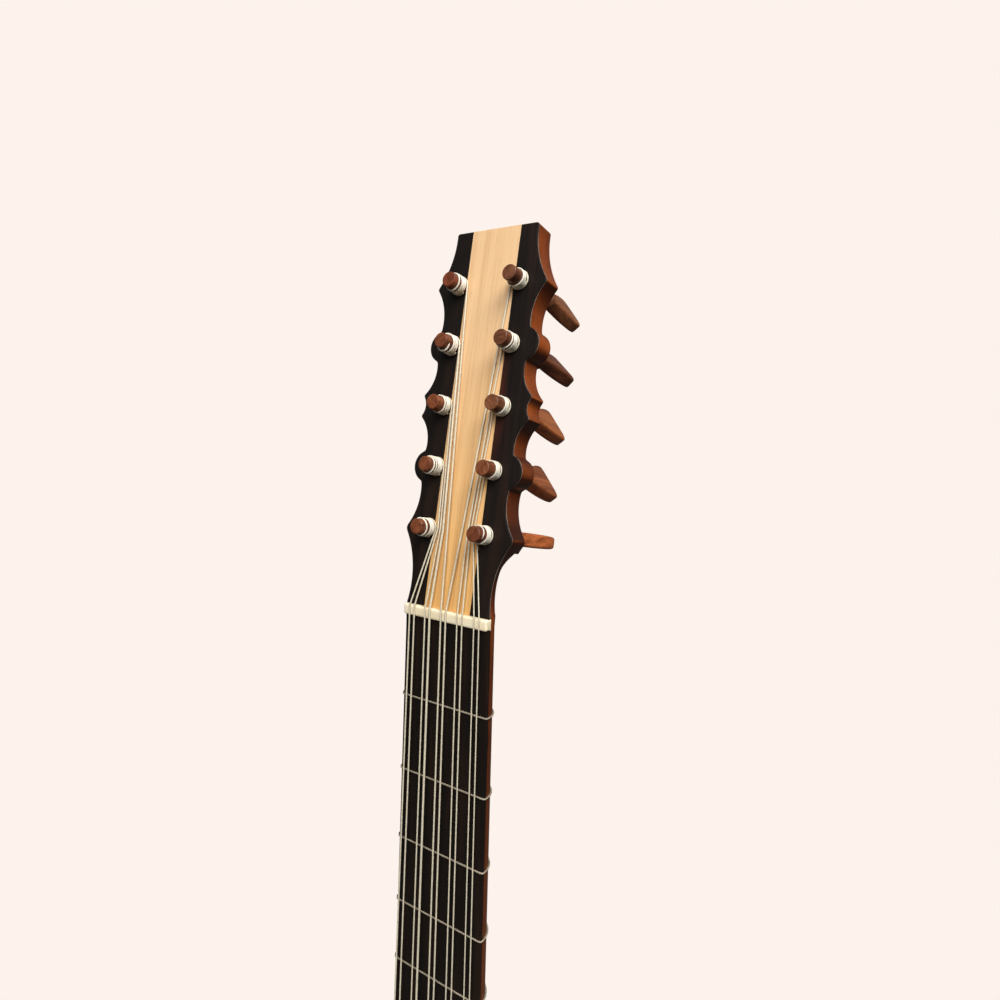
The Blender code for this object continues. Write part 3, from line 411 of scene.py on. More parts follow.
def mesh_points(mesh):
    """The places of a mesh's points, a row each."""
    places = np.empty(len(mesh.vertices) * 3)
    mesh.vertices.foreach_get("co", places)
    return places.reshape(-1, 3)


def face_outwards(mesh):
    """Turns a closed mesh the right way out: its volume by triangles has to be positive."""
    mesh.calc_loop_triangles()
    corners = np.empty(len(mesh.loop_triangles) * 3, np.int32)
    mesh.loop_triangles.foreach_get("vertices", corners)
    a, b, c = np.moveaxis(mesh_points(mesh)[corners.reshape(-1, 3)], 1, 0)
    if np.einsum("ij,ij->", a, np.cross(b, c)) < 0:
        mesh.flip_normals()


def finish_piece(made, finish, nodes=(), sharp=32, body="guitar"):
    """Gives a piece its finish, smooth but for edges sharper than an angle in degrees,
    puts it under its body's empty and hides the CAD nodes that it stands for."""
    made.data.materials.clear()
    made.data.materials.append(finish)
    made.data.shade_smooth()
    made.data.set_sharp_from_angle(angle=math.radians(sharp))
    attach(made, body)
    if nodes:
        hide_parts(*nodes)
    return made


def grid_faces(rings, points, ends):
    """Quads between neighbouring rings of a grid. Its ends are capped by one face each,
    joined to one another, or left open."""
    span = rings if ends == "join" else rings - 1
    i = (np.arange(span) * points)[:, None]
    j = np.arange(points)[None]
    k = (j + 1) % points
    up = ((np.arange(span) + 1) % rings * points)[:, None]
    faces = np.stack([i + j, i + k, up + k, up + j], axis=-1).reshape(-1, 4).tolist()
    if ends == "cap":
        faces.append(np.arange(points)[::-1].tolist())
        faces.append((np.arange(points) + (rings - 1) * points).tolist())
    return faces


class Value:
    """A number, colour or vector socket of a finish. Operators on it add Math nodes."""

    def __init__(self, finish, socket):
        self.finish = finish
        self.socket = socket

    def math(self, operation, first, second=0.0):
        return self.finish.add("Math", {"operation": operation}, {0: first, 1: second})

    def __add__(self, other):
        return self.math("ADD", self, other)

    __radd__ = __add__

    def __sub__(self, other):
        return self.math("SUBTRACT", self, other)

    def __rsub__(self, other):
        return self.math("SUBTRACT", other, self)

    def __mul__(self, other):
        return self.math("MULTIPLY", self, other)

    __rmul__ = __mul__

    def __gt__(self, other):
        return self.math("GREATER_THAN", self, other)

    def absolute(self):
        return self.math("ABSOLUTE", self)

    def fraction(self):
        return self.math("FRACT", self)

    def clamp(self):
        return self.finish.add("Clamp", {}, {0: self})

    def step(self, low, high):
        """0 below low, 1 above high and a straight rise between; high may be the lower."""
        return self.finish.add("MapRange", {"clamp": True},
                               {"Value": self, "From Min": low, "From Max": high})


class Finish:
    """A procedural material in the making."""

    def __init__(self, name, roughness, coat=0.0, coat_roughness=0.1, specular=0.5):
        self.material = bpy.data.materials.new(name)
        self.material.use_nodes = True
        self.tree = self.material.node_tree
        self.shader = self.tree.nodes["Principled BSDF"]
        for socket, value in (("Roughness", roughness), ("Coat Weight", coat),
                              ("Coat Roughness", coat_roughness),
                              ("Specular IOR Level", specular)):
            self.shader.inputs[socket].default_value = value

    def feed(self, socket, value):
        if isinstance(value, Value):
            self.tree.links.new(value.socket, socket)
        elif isinstance(value, tuple) and socket.type == "RGBA":
            socket.default_value = (*value, 1)
        else:
            socket.default_value = value

    def add(self, kind, settings, sockets, out=0):
        """Adds a node: its type, its settings, then its sockets' values or links. A
        ramp's stops are pairs of a place and a colour."""
        made = self.tree.nodes.new("ShaderNode" + kind)
        for name, value in settings.items():
            if name == "stops":
                ramp = made.color_ramp
                while len(ramp.elements) < len(value):
                    ramp.elements.new(1)
                for element, (place, colour) in zip(ramp.elements, value):
                    element.position = place
                    element.color = (*colour, 1)
            else:
                setattr(made, name, value)
        for name, value in sockets.items():
            self.feed(made.inputs[name], value)
        return Value(self, made.outputs[out])

    def place(self, scale=(1, 1, 1), turn=(0, 0, 0)):
        """Object coordinates, turned and stretched: the pattern is finer along an axis
        of large scale."""
        coords = self.add("TexCoord", {}, {}, "Object")
        turned = self.add("Mapping", {"vector_type": "POINT"},
                          {"Vector": coords, "Rotation": turn})
        return self.add("VectorMath", {"operation": "MULTIPLY"}, {0: turned, 1: scale})

    def noise(self, where, detail, rough, twist=0.0):
        return self.add("TexNoise", {}, {"Vector": where, "Scale": 1.0, "Detail": detail,
                                         "Roughness": rough, "Distortion": twist})

    def axis(self, where, name):
        return self.add("SeparateXYZ", {}, {0: where}, name)

    def along(self, name, turn=(0, 0, 0)):
        """One of the turned coordinates, in metres."""
        return self.axis(self.place((1, 1, 1), turn), name)

    def length(self, where):
        return self.add("VectorMath", {"operation": "LENGTH"}, {0: where}, "Value")

    def stored(self, name):
        """A number that is stored with each point of the piece."""
        return self.add("Attribute", {"attribute_name": name}, {}, "Fac")

    def blend(self, first, second, share):
        """The colour first, turning into second as share goes from 0 to 1."""
        return self.add("Mix", {"data_type": "RGBA"}, {0: share, 6: first, 7: second}, 2)

    def ramp(self, share, stops):
        return self.add("ValToRGB", {"stops": stops}, {0: share})

    def show(self, colour, roughness=None, relief=None, depth=0.0001, strength=1.0):
        """Ends the finish: its colour, roughness and relief, depth being the relief's
        height in metres."""
        self.feed(self.shader.inputs["Base Color"], colour)
        if roughness is not None:
            self.feed(self.shader.inputs["Roughness"], roughness)
        if relief is not None:
            bump = self.add("Bump", {}, {"Height": relief, "Distance": depth,
                                         "Strength": strength})
            self.feed(self.shader.inputs["Normal"], bump)
        return self.material


def raw(name, points, faces):
    """A mesh object from points and faces, with its faces outwards."""
    mesh = bpy.data.meshes.new(name)
    mesh.from_pydata(np.asarray(points, float).reshape(-1, 3).tolist(), [], faces)
    mesh.update()
    face_outwards(mesh)
    return add_object(name, mesh)


def skin(name, rings, ends="cap"):
    """A surface through a grid of points: ring i, point j, closed round each ring."""
    rings = np.asarray(rings, float)
    return raw(name, rings, grid_faces(rings.shape[0], rings.shape[1], ends))


def carve(made, *cutters):
    """Takes cutters away from a piece for good."""
    for cutter in cutters:
        step = made.modifiers.new("carve", "BOOLEAN")
        step.object = cutter
        step.solver = "EXACT"
        mesh = evaluated_mesh(made)
        made.modifiers.clear()
        made.data = mesh
    return made


def block(low, high, place=np.asarray):
    """A plain box to cut with, from one corner to the other, in a frame."""
    x, y, z = zip(low, high)
    ring = [(x[0], y[0]), (x[1], y[0]), (x[1], y[1]), (x[0], y[1])]
    rings = np.array([[(*corner, level) for corner in ring] for level in z])
    return skin("cutter", place(rings))


def point_values(made, name, values):
    """Stores a number with each point of a piece, for its finish."""
    layer = made.data.attributes.new(name, "FLOAT", "POINT")
    layer.data.foreach_set("value", np.asarray(values, np.float32))


def plate_rings(loop, edge):
    """An outline at every step of a plate's edge: moved in by the first number of each
    pair, at the height of the second."""
    return np.stack([np.c_[inset(loop, d), np.full(len(loop), h)] for d, h in edge])


def facing(rings):
    """A plate's rings with their height turned to run out of the soundboard."""
    return rings[..., [0, 2, 1]] * (1, -1, 1)


def make_head():
    """The head: a plank of mahogany, a pale line and a face of three strips. Each is an
    outline carried along its edge's profile. Below the shoulder the plank is carved to
    the neck's round."""
    room = NUT_WIDTH
    start = SHOULDER - CARVE_OVER
    above = HEAD_SIDE[np.argmax(HEAD_SIDE[:, 1] > start):]
    foot = [(room, PLANK_FOOT), (room, start), (edge_half(start), start)]
    plank = skin("head_plank", on_head(plate_rings(
        mirrored(np.concatenate([foot, above])),
        arris(-HEAD_THICKNESS, -VENEER - PALE_LINE, 0.00035, 0.00005))))
    line = skin("head_pale_line", on_head(plate_rings(
        mirrored(HEAD_SIDE), arris(-VENEER - PALE_LINE, -VENEER, FINE, FINE, 2))))
    levels = np.linspace(-FOOT_REACH, HEAD_LENGTH, 300)
    halves = np.interp(levels, (0, HEAD_LENGTH), STRIPE_HALVES)
    stripe = skin("head_pale_stripe", on_head(plate_rings(
        mirrored(np.stack([halves - SEAM, levels], 1)), arris(-VENEER, 0, FINE, 0.00010, 3))))
    strips = []
    for name, sign in (("right", 1), ("left", -1)):
        outer = HEAD_SIDE[HEAD_SIDE[:, 0] > STRIPE_HALVES[1] + 0.0003]
        inner = np.stack([halves + SEAM, levels], 1)[::-1]
        strip = np.concatenate([outer, inner]) * (sign, 1)
        strips.append(skin("head_black_" + name, on_head(plate_rings(
            strip, arris(-VENEER, 0, FINE, 0.00018, 4)))))
    bed = block((-2 * room, -room, -2 * room), (2 * room, NECK_TOP, NUT_LENGTH + GLUE))
    rounded = neck_bar("cutter")
    waste = block((-2 * room, PLANK_FOOT - CARVE_OVER, -2 * room), (2 * room, SHOULDER, room),
                  on_head)
    carve(waste, rounded)
    carve(plank, waste)
    drills = [peg_drill(sign, row) for sign in (-1, 1) for row in range(PEG_ROWS)]
    for made in [plank, line, stripe] + strips:
        carve(made, bed, *drills)
    discard(bed, waste, rounded, *drills)
    finish_piece(plank, MAHOGANY_HEAD, ["head_core"], 30)
    # Painted shade: each point stores a large value on faces turned down and a smaller one on
    # faces turned up for their end grain, and the finish darkens the plank by it
    normals = np.empty(len(plank.data.vertices) * 3)
    plank.data.vertex_normals.foreach_get("vector", normals)
    up = normals.reshape(-1, 3) @ (0, math.sin(HEAD_TILT), math.cos(HEAD_TILT))
    point_values(plank, "end_grain", np.maximum(0.5 * up, -1.2 * up))
    finish_piece(line, LINE, ["head_line"])
    finish_piece(stripe, PALE, ["face_centre"], 30)
    finish_piece(strips[0], EBONY_RED, ["face_right"], 30)
    finish_piece(strips[1], EBONY_HEAD, ["face_left"], 30)


def circle(radius, count):
    """Points at even angles on a circle."""
    a = np.arange(count) * 2 * math.pi / count
    return np.stack([radius * np.cos(a), radius * np.sin(a)], 1)


def peg_drill(sign, row):
    """What a peg's hole takes out of the head: a cone a hair wider than the peg."""
    rings = []
    for height in (-HEAD_THICKNESS - CARVE_OVER, CARVE_OVER):
        ring = circle(peg_radius(height) + PEG_ROOM, 40) + (sign * peg_out(row), peg_row(row))
        rings.append(np.c_[ring, np.full(len(ring), height)])
    return skin("cutter", on_head(np.array(rings)))


def neck_bar(name):
    """The carved round of head, neck and heel as one bar, with room in front to cut."""
    up = np.linspace(1, 0, 26) * (SHOULDER + CARVE_OVER) + NUT_LENGTH
    down = np.linspace(0, HEEL_TOP, 24)
    heel = HEEL_TOP - HEEL_START * np.sin(np.linspace(0, math.pi / 2, 26)[1:])
    z = np.concatenate([up, down, heel, [BOARD_END]])
    rings = neck_round(z)
    front = rings[:, :1, 1] - NECK_TOP - CARVE_OVER
    corners = [np.stack([rings[:, k, 0], front[:, 0], z], -1)[:, None] for k in (-1, 0)]
    return skin(name, np.concatenate([rings] + corners, axis=1))


def loop_level(loop, y):
    """An outline of the body at a depth."""
    return np.stack([loop[:, 0], np.full(len(loop), y), loop[:, 1]], -1)


def body_room():
    """The room that the body takes up, a gap larger all round."""
    loop = inset(BODY_EDGE, -GAP)
    return skin("cutter", [loop_level(loop, y) for y in (-BODY_DEPTH, 2 * BODY_DEPTH)])


def make_neck():
    """The neck: the carved bar, cut flat under head and board and to the body's edge.
    The fingerboard is an outline carried along its edge's profile."""
    room = NUT_WIDTH
    neck = neck_bar("neck_and_heel")
    run_out = NUT_LENGTH + RUN_OUT
    cutters = [block((-room, -BACK_CUT, -HEAD_THICKNESS - GLUE), (room, BACK_CUT, room),
                     on_head),
               block((-room, -room, -2 * NECK_LENGTH), (room, NECK_TOP, 0)),
               block((-room, -room, run_out), (room, room, run_out + room)),
               body_room()]
    carve(neck, *cutters)
    finish_piece(neck, MAHOGANY, ["neck"], 28)
    z = np.linspace(BOARD_END, -GLUE, 60)
    board = skin("fingerboard_ebony", facing(plate_rings(
        mirrored(np.stack([neck_half(z), z], 1)),
        arris(-BOARD_THICKNESS, 0, 0.00005, 0.0003, 4))))
    carve(board, cutters[-1])
    discard(*cutters)
    finish_piece(board, EBONY, ["fingerboard"], 30)


def circles(centres, ways, radius, side, sides):
    """Circles about centres, square to ways. The side direction, which no way follows,
    crossed with a way gives its circle's first axis, and the way crossed with that the
    second."""
    first = np.cross(np.broadcast_to(side, ways.shape), ways)
    first /= np.linalg.norm(first, axis=1)[:, None]
    second = np.cross(ways, first)
    a = np.arange(sides)[None, :, None] * 2 * math.pi / sides
    return centres[:, None] + radius * (np.cos(a) * first[:, None] + np.sin(a) * second[:, None])


def tube_rings(path, radius, side, sides):
    """Circles square to an open path, with a small dome at each end."""
    ways = np.gradient(path, axis=0)
    ways /= np.linalg.norm(ways, axis=1)[:, None]
    dome = np.radians((80, 55, 28))
    turn = np.r_[dome, np.zeros(len(path)), dome[::-1]]
    pick = np.r_[[0] * 3, np.arange(len(path)), [len(path) - 1] * 3]
    out = np.r_[[-1] * 3, np.zeros(len(path)), [1] * 3] * np.sin(turn) * radius
    spread = (radius * np.cos(turn))[:, None, None]
    return circles(path[pick] + ways[pick] * out[:, None], ways[pick], spread,
                   np.broadcast_to(side, path.shape)[pick], sides)


def closed_tube(path, radius, side, sides):
    """Circles square to a closed path."""
    ways = np.roll(path, -1, axis=0) - np.roll(path, 1, axis=0)
    ways /= np.linalg.norm(ways, axis=1)[:, None]
    return circles(path, ways, radius, side, sides)


def tube(name, path, radius, side, finish, nodes=(), sides=10, body="guitar"):
    """A finished round cord along a path."""
    made = skin(name, tube_rings(path, radius, side, sides))
    return finish_piece(made, finish, nodes, 60, body)


def string_x(index, spacing):
    """Sideways place of a string: five courses of two, counted from the bass."""
    return (index // 2 - 2) * spacing[0] + (index % 2 - 0.5) * spacing[1]


def string_side(index):
    """A string's side and its peg's row: the outer strings go to the lowest pegs."""
    return (-1, index) if index < PEG_ROWS else (1, LAST_STRING - index)


def string_foot(index):
    """Where a string leaves the nut for its peg, and the place beside the lowest peg's
    turns that the strings to the three pegs above are led past, as for the bass side."""
    sign, row = string_side(index)
    radius = STRING_RADII[index]
    rise = -STRING_Y_NUT * math.cos(HEAD_TILT)
    points = [(-abs(string_x(index, NUT_SPACING)), STRING_Y_NUT * math.sin(HEAD_TILT), rise)]
    if 0 < row < PEG_ROWS - 1:
        passed = [STRING_RADII[k if sign < 0 else LAST_STRING - k] for k in range(row)]
        lane = -peg_out(0) + peg_radius(0) + GAP + sum(2 * r + LANE_SPACE for r in passed)
        height = rise + (GAP + radius - rise) * peg_row(0) / peg_row(row)
        points.append((lane + radius, peg_row(0), height))
    return points


def wrap_start(index):
    """A peg's centre on the face and the angle where its string meets the turns."""
    row = string_side(index)[1]
    around = peg_radius(0) + GAP + STRING_RADII[index]
    centre = np.array((-peg_out(row), peg_row(row)))
    span = centre - np.array(string_foot(index)[-1][:2])
    lean = math.asin(around / np.hypot(*span))
    return centre, math.atan2(span[1], span[0]) - lean - math.pi / 2


def string_path(index):
    """A string from its tied end at the bridge, over the bar and back through it, along
    to the nut, up the face and most of once round its peg, every bend softened."""
    radius = STRING_RADII[index]
    sign = string_side(index)[0]
    x_nut, x_end = string_x(index, NUT_SPACING), string_x(index, BRIDGE_SPACING)
    over = -BRIDGE_HEIGHT - GLUE - GAP - radius
    under = -STRING_RISE_BRIDGE
    front = -STRING_LENGTH
    rear = front - BRIDGE_DEPTH
    away = radius + GAP + LOOP_OUT
    bend = LOOP_BEND / 2
    low = [(x_end + 3.2 * radius, under + 0.0035, front + away + 0.0030),
           (x_end + 2.6 * radius, under + 0.0010, front + away + 0.0010),
           (x_end, under - 2 * radius - LOOP_BEND, front + away),
           (x_end, over + bend, front + away), (x_end, over, front - bend),
           (x_end, over, rear), (x_end, over + LOOP_BEND, rear - away),
           (x_end, under - LOOP_BEND, rear - away - bend), (x_end, under, rear - away),
           (x_end, under, front), (x_nut, STRING_Y_NUT, 0),
           (x_nut, STRING_Y_NUT, NUT_LENGTH - GAP)]
    centre, angle = wrap_start(index)
    around = peg_radius(0) + GAP * 0.5 + radius
    turn = angle + np.linspace(0, WRAP_ANGLE, WRAP_POINTS)
    wrap = np.stack([centre[0] + around * np.cos(turn), centre[1] + around * np.sin(turn),
                     np.full(WRAP_POINTS, GAP + radius)], 1)
    face = np.concatenate([np.array(string_foot(index)[1:]).reshape(-1, 3), wrap])
    path = np.concatenate([np.array(low), on_head(face * (-sign, 1, 1))])
    return soften(even(path, 0.0006), 1.1)


LOOSE_TURNS = {-1: (1.1, 1.9, 0.7, 1.0, 1.2), 1: (0.9, 0.6, 0.12, 1.1, 0.12)}
LOOSE_STEPS = {-1: (0.0030, 0.0017, 0.0020, 0.0026, 0.0022),  # rise in a loose turn
               1: (0.0029, 0.0016, 0.0012, 0.0020, 0.0012)}
DENSE_TOP = 0.0044  # height over the face up to which the turns touch
TURN_RISE = 2.05  # of a touching turn, in radii of the string
TURN_POINTS = 44
TURN_CLEAR = 0.00008  # between the still turn and the first of these
DIP = 0.2  # share of a turn in which the end dips into its hole
BELOW_DISC = 0.0016


def winding_path(index):
    """The turns that go round with a peg: a spiral whose turns touch from the still turn
    upwards, then rise faster, and whose end dips into its hole in the peg."""
    sign, row = string_side(index)
    radius = STRING_RADII[index]
    base = GAP + 3 * radius + TURN_CLEAR
    step = TURN_RISE * radius
    dense = (DENSE_TOP - base) / step
    loose = LOOSE_TURNS[sign][row]
    end = dense + loose
    turn = np.linspace(0, end + DIP, round(end * TURN_POINTS))
    extra = np.clip(turn - dense, 0, loose)
    height = base + step * turn + (LOOSE_STEPS[sign][row] - step) * extra
    height = np.minimum(height, PEG_PROUD - BELOW_DISC)
    # In string radii: the start is sunk a little, the turns lie on the peg, the end dips
    ease = np.interp(turn, (0, 0.08, end, end + DIP), (-0.6, 1, 1, -1.8))
    around = peg_radius(height) + (ease + 0.04) * radius
    centre, start = wrap_start(index)
    angle = start + math.pi + 2 * math.pi * turn
    local = np.stack([centre[0] + around * np.cos(angle), centre[1] + around * np.sin(angle),
                      height], 1)
    return on_head(local * (-sign, 1, 1))


def make_strings():
    """Each string's still run on the guitar, and the turns that go round with its peg.
    Above the nut the tube's side direction swings from across to out of the face."""
    for index, radius in enumerate(STRING_RADII):
        path = string_path(index)
        share = np.interp(path[:, 2], SIDE_SWING, (0, 1))[:, None]
        side = (1 - share) * (1, 0, 0) + share * HEAD_OUT
        number = str(index + 1)
        tube("gut_string_" + number, path, radius, side, STRING_GUT,
             ["string_" + number])
        tag = peg_tag(*string_side(index))
        tube("gut_turns_" + tag, winding_path(index), 0.95 * radius, HEAD_OUT, WINDING_GUT,
             ["winding_" + tag], body=peg_body(*string_side(index)))


PEG_TABLE = (  # height, half width, half thickness, squareness of the section
    (0.0070, 0.00355, 0.00355, 1.0), (0.0, 0.003665, 0.003665, 1.0),
    (-0.0116, 0.00386, 0.00386, 1.0), (-0.0206, 0.00401, 0.00401, 1.0),
    (-0.0216, 0.00410, 0.00410, 1.0), (-0.0225, 0.00480, 0.00480, 1.0),
    (-0.0233, 0.00512, 0.00512, 1.0), (-0.0241, 0.00495, 0.00490, 1.0),
    (-0.0250, 0.00400, 0.00380, 0.80), (-0.0260, 0.00375, 0.00340, 0.60),
    (-0.0286, 0.00450, 0.00335, 0.40), (-0.0331, 0.00640, 0.00345, 0.34),
    (-0.0381, 0.00825, 0.00342, 0.32), (-0.0427, 0.00940, 0.00332, 0.32),
    (-0.0452, 0.00965, 0.00322, 0.32), (-0.0461, 0.00960, 0.00315, 0.32))


def peg_grid():
    """A peg in its own frame: rings whose sections go from round to a squared oval, by
    the table, with rounded arrises at the end disc and at the handle's end."""
    heights = np.r_[np.linspace(PEG_PROUD - 0.0005, SHANK_END, 16),
                    np.linspace(-0.0208, -0.0262, 30), np.linspace(-0.0268, -0.0461, 34)]
    table = np.array(sorted(PEG_TABLE))
    wide, thick, power = (smooth_table(heights, table[:, 0], table[:, k]) for k in (1, 2, 3))
    shank = heights > SHANK_END
    wide[shank] = thick[shank] = peg_radius(heights[shank])
    a = np.linspace(0, math.pi / 2, 6)
    disc = PEG_END_RADIUS - DISC_ROUND * (1 - np.cos(a[::-1]))
    top = PEG_PROUD - DISC_ROUND * (1 - np.sin(a[::-1]))
    disc = np.r_[0.0008, disc[0] - 0.0001, disc]
    shrink = np.r_[HANDLE_ROUND * (1 - np.cos(a[1:])), 0.0011]
    wide = np.r_[disc, wide, wide[-1] - shrink, 0.0010]
    thick = np.r_[disc, thick, thick[-1] - shrink, 0.0003]
    power = np.r_[[1.0] * len(disc), power, [power[-1]] * (len(shrink) + 1)]
    end = heights[-1] - HANDLE_ROUND
    heights = np.r_[PEG_PROUD + 0.00002, PEG_PROUD, top, heights,
                    heights[-1] - HANDLE_ROUND * np.sin(a[1:]), end - 0.00004, end - 0.00012]
    b = (np.arange(56) * 2 * math.pi / 56)[None]
    c, s = np.cos(b), np.sin(b)
    x = wide[:, None] * np.sign(c) * np.abs(c) ** power[:, None]
    y = thick[:, None] * np.sign(s) * np.abs(s) ** power[:, None]
    return np.stack([x, y, np.broadcast_to(heights[:, None], x.shape)], -1)


def make_pegs():
    """The pegs: one grid, turned about its own axis and set in each hole. Each peg rides
    on its own body."""
    x, y, h = np.moveaxis(peg_grid(), -1, 0)
    for sign, turns in TURNS.items():
        for row, turn in enumerate(turns):
            a = math.radians(-turn)
            turned = np.stack([x * math.cos(a) - y * math.sin(a) + sign * peg_out(row),
                               x * math.sin(a) + y * math.cos(a) + peg_row(row), h], -1)
            tag = peg_tag(sign, row)
            finish_piece(skin("tuning_peg_" + tag, on_head(turned)), PEG_WOODS[sign][row],
                         ["peg_" + tag], 36, peg_body(sign, row))


def make_nut():
    """The nut: a squared-off half oval carried across the neck, its ends rounded, with
    a shallow groove under each string."""
    half = NUT_WIDTH / 2
    a = np.linspace(0, math.pi, 41)
    c, s = np.cos(a), np.sin(a)
    z = NUT_LENGTH / 2 * (1 + np.sign(c) * np.abs(c) ** NUT_POWERS[0])
    y = -NUT_PROUD * np.clip(s, 0, None) ** NUT_POWERS[1]
    foot = NECK_TOP - GLUE
    profile = np.concatenate([np.stack([y, z], 1), [(foot, 0.0), (foot, NUT_LENGTH)]])
    end = half - NUT_END * (1 - np.cos(np.linspace(math.pi / 2, 0, 9)))
    x = np.concatenate([-end[:0:-1], np.arange(NUT_END - half, half - NUT_END, 0.0001), end])
    near = np.clip((half - np.abs(x)) / NUT_END, 0, 1)
    pull = NUT_FALL * (1 - np.sqrt(1 - (1 - near) ** 2))[:, None]
    pull = pull * np.clip(1 - profile[:, 0] / foot, 0, 1)
    middle = np.array((0, NUT_LENGTH / 2))
    reach = np.linalg.norm(profile - middle, axis=1)[None]
    shrink = np.clip(1 - pull / reach, 0, 1)[..., None]
    rings = middle + (profile - middle)[None] * shrink
    strings = np.array([string_x(k, NUT_SPACING) for k in range(LAST_STRING + 1)])
    wide = np.array(STRING_RADII) + GROOVE_ROOM
    bite = 1 - ((x[:, None] - strings) / wide) ** 2
    deep = wide - GROOVE_SHALLOW
    groove = (deep * np.sqrt(np.clip(bite, 0, 1))).max(axis=1)[:, None]
    crown = np.clip(-rings[..., 0] / NUT_PROUD, 0, 1) ** 3
    y = rings[..., 0] + groove * crown
    grid = np.stack([np.broadcast_to(x[:, None], y.shape), y, rings[..., 1]], -1)
    finish_piece(skin("nut_bone", grid), BONE, ["nut"], 40)


def fret_path(number):
    """A tied fret: once round the neck and board, its two ends side by side. Each fret
    shortens the strings by a twelfth root of 2."""
    z = -STRING_LENGTH * (1 - 2 ** (-number / 12))
    half = neck_half(z) + FRET_OUT
    back = neck_round(z, FRET_OUT, 60)[0]
    over = np.array([(-half, 0, z), (FRET_CORNER - half, -FRET_OUT, z),
                     (half - FRET_CORNER, -FRET_OUT, z), (half, 0, z)])
    round_neck = back[:58]
    drift = -FRET_DRIFT * np.clip(np.arange(len(round_neck)) / 46, 0, 1)
    round_neck = round_neck + drift[:, None] * (0, 0, 1)
    return soften(even(np.concatenate([back[-14:], over, round_neck]), 0.0005), 1.0)


def make_frets():
    """The tied frets, each with a small coil for a knot where its ends meet at the bass
    edge, and the knot's tail."""
    for number in range(1, FRET_COUNT + 1):
        path = fret_path(number)
        tube("tied_fret_" + str(number), path, FRET_RADIUS, (0, 0, 1), FRET_GUT,
             ["fret_" + str(number)])
        z = path[0, 2] - FRET_RADIUS
        edge = -neck_half(z) - FRET_RADIUS
        t = np.linspace(0, 1, 70)
        a = 2 * math.pi * KNOT_TURNS * t + KNOT_START
        knot = np.stack([edge + KNOT_HALVES[0] * np.cos(a), KNOT_DEPTH + KNOT_LENGTH * t,
                         z + KNOT_HALVES[1] * np.sin(a)], 1)
        tail = knot[-1] + np.array(KNOT_TAIL)
        line = soften(even(np.concatenate([knot, tail]), 0.0002), 1.5)
        tube("fret_knot_" + str(number), line, KNOT_RADIUS, (0, 1, 0), KNOT_GUT,
             sides=8)


def panel(name, outer, inner, finish, node, hole=None):
    """A board of the body: loops from its middle, or its hole, out to the edge, over the
    rounded arris and back inside. Each point stores how far it lies from the edge."""
    sign = 1 if inner > outer else -1
    centre = np.array((0, ROSE_Z if hole else (BODY_TOP_Z + TAIL_Z) / 2))
    wide = inset(BODY_EDGE, PANEL_BAND)
    ray = wide - centre
    if hole:
        first = centre + ray / np.linalg.norm(ray, axis=1)[:, None] * hole
    else:
        first = centre + ray * 0.05
    rows = [(first + (wide - first) * share, outer, PANEL_BAND + 0.08 * (1 - share))
            for share in np.linspace(0, 1, 14)]
    rows += [(inset(BODY_EDGE, away), outer, away)
             for away in (0.009, 0.006, 0.003, 0.0009, 0.0006)]
    for a in np.linspace(0, math.pi / 2, 6):
        away = PANEL_ROUND * (1 - math.sin(a))
        rows.append((inset(BODY_EDGE, away), outer + sign * PANEL_ROUND * (1 - math.cos(a)),
                     away))
    rows += [(BODY_EDGE, inner, 0.0), (first, inner, 0.1)]
    rings = np.stack([loop_level(loop, y) for loop, y, away in rows])
    made = skin(name, rings, "join" if hole else "cap")
    point_values(made, "edge", np.repeat([away for loop, y, away in rows], rings.shape[1]))
    return finish_piece(made, finish, [node], 30)


def make_body():
    """Soundboard, back and ribs. The ribs are one band inside the edge of both boards."""
    panel("soundboard_spruce", 0.0, TOP_THICKNESS, SPRUCE, "soundboard", HOLE_RADIUS)
    panel("back_board", BODY_DEPTH, BODY_DEPTH - BACK_THICKNESS, MAHOGANY_BACK,
          "back")
    front, rear = TOP_THICKNESS + GLUE, BODY_DEPTH - BACK_THICKNESS - GLUE
    outer, inner = inset(BODY_EDGE, RIB_INSET), inset(BODY_EDGE, RIB_INSET + RIB_THICKNESS)
    rings = [loop_level(outer, y) for y in np.linspace(front, rear, 9)]
    rings += [loop_level(inner, rear), loop_level(inner, front)]
    finish_piece(skin("ribs_bent", np.stack(rings), "join"), RIB_WOOD,
                 ["rib_" + side + "_" + part for side in ("left", "right")
                  for part in ("upper", "lower")], 40)


def flat_plate(name, loops, low, high):
    """A pierced plate: flat outlines filled between, inner ones as holes, made a mesh."""
    flat = bpy.data.curves.new(name, "CURVE")
    flat.dimensions = "2D"
    flat.fill_mode = "BOTH"
    flat.extrude = (high - low) / 2
    for loop in loops:
        spline = flat.splines.new("POLY")
        spline.points.add(len(loop) - 1)
        rows = np.c_[loop, np.zeros(len(loop)), np.ones(len(loop))]
        spline.points.foreach_set("co", rows.ravel())
        spline.use_cyclic_u = True
    drawn = add_object(name, flat)
    mesh = evaluated_mesh(drawn)
    discard(drawn)
    shape = bmesh.new()
    shape.from_mesh(mesh)
    bmesh.ops.remove_doubles(shape, verts=shape.verts, dist=1e-6)
    shape.to_mesh(mesh)
    shape.free()
    x, z, level = mesh_points(mesh).T
    level = level + (low + high) / 2
    mesh.vertices.foreach_set("co", np.stack([x, -level, z], 1).ravel())
    mesh.update()
    face_outwards(mesh)
    return add_object(name, mesh)


ROSE_RINGS = (  # openings, how far out, half length, half width, and turn in openings
    (8, 0.0105, 0.0042, 0.0021, 0.0), (12, 0.0205, 0.0048, 0.0026, 0.5),
    (18, 0.0318, 0.0046, 0.0029, 0.0))


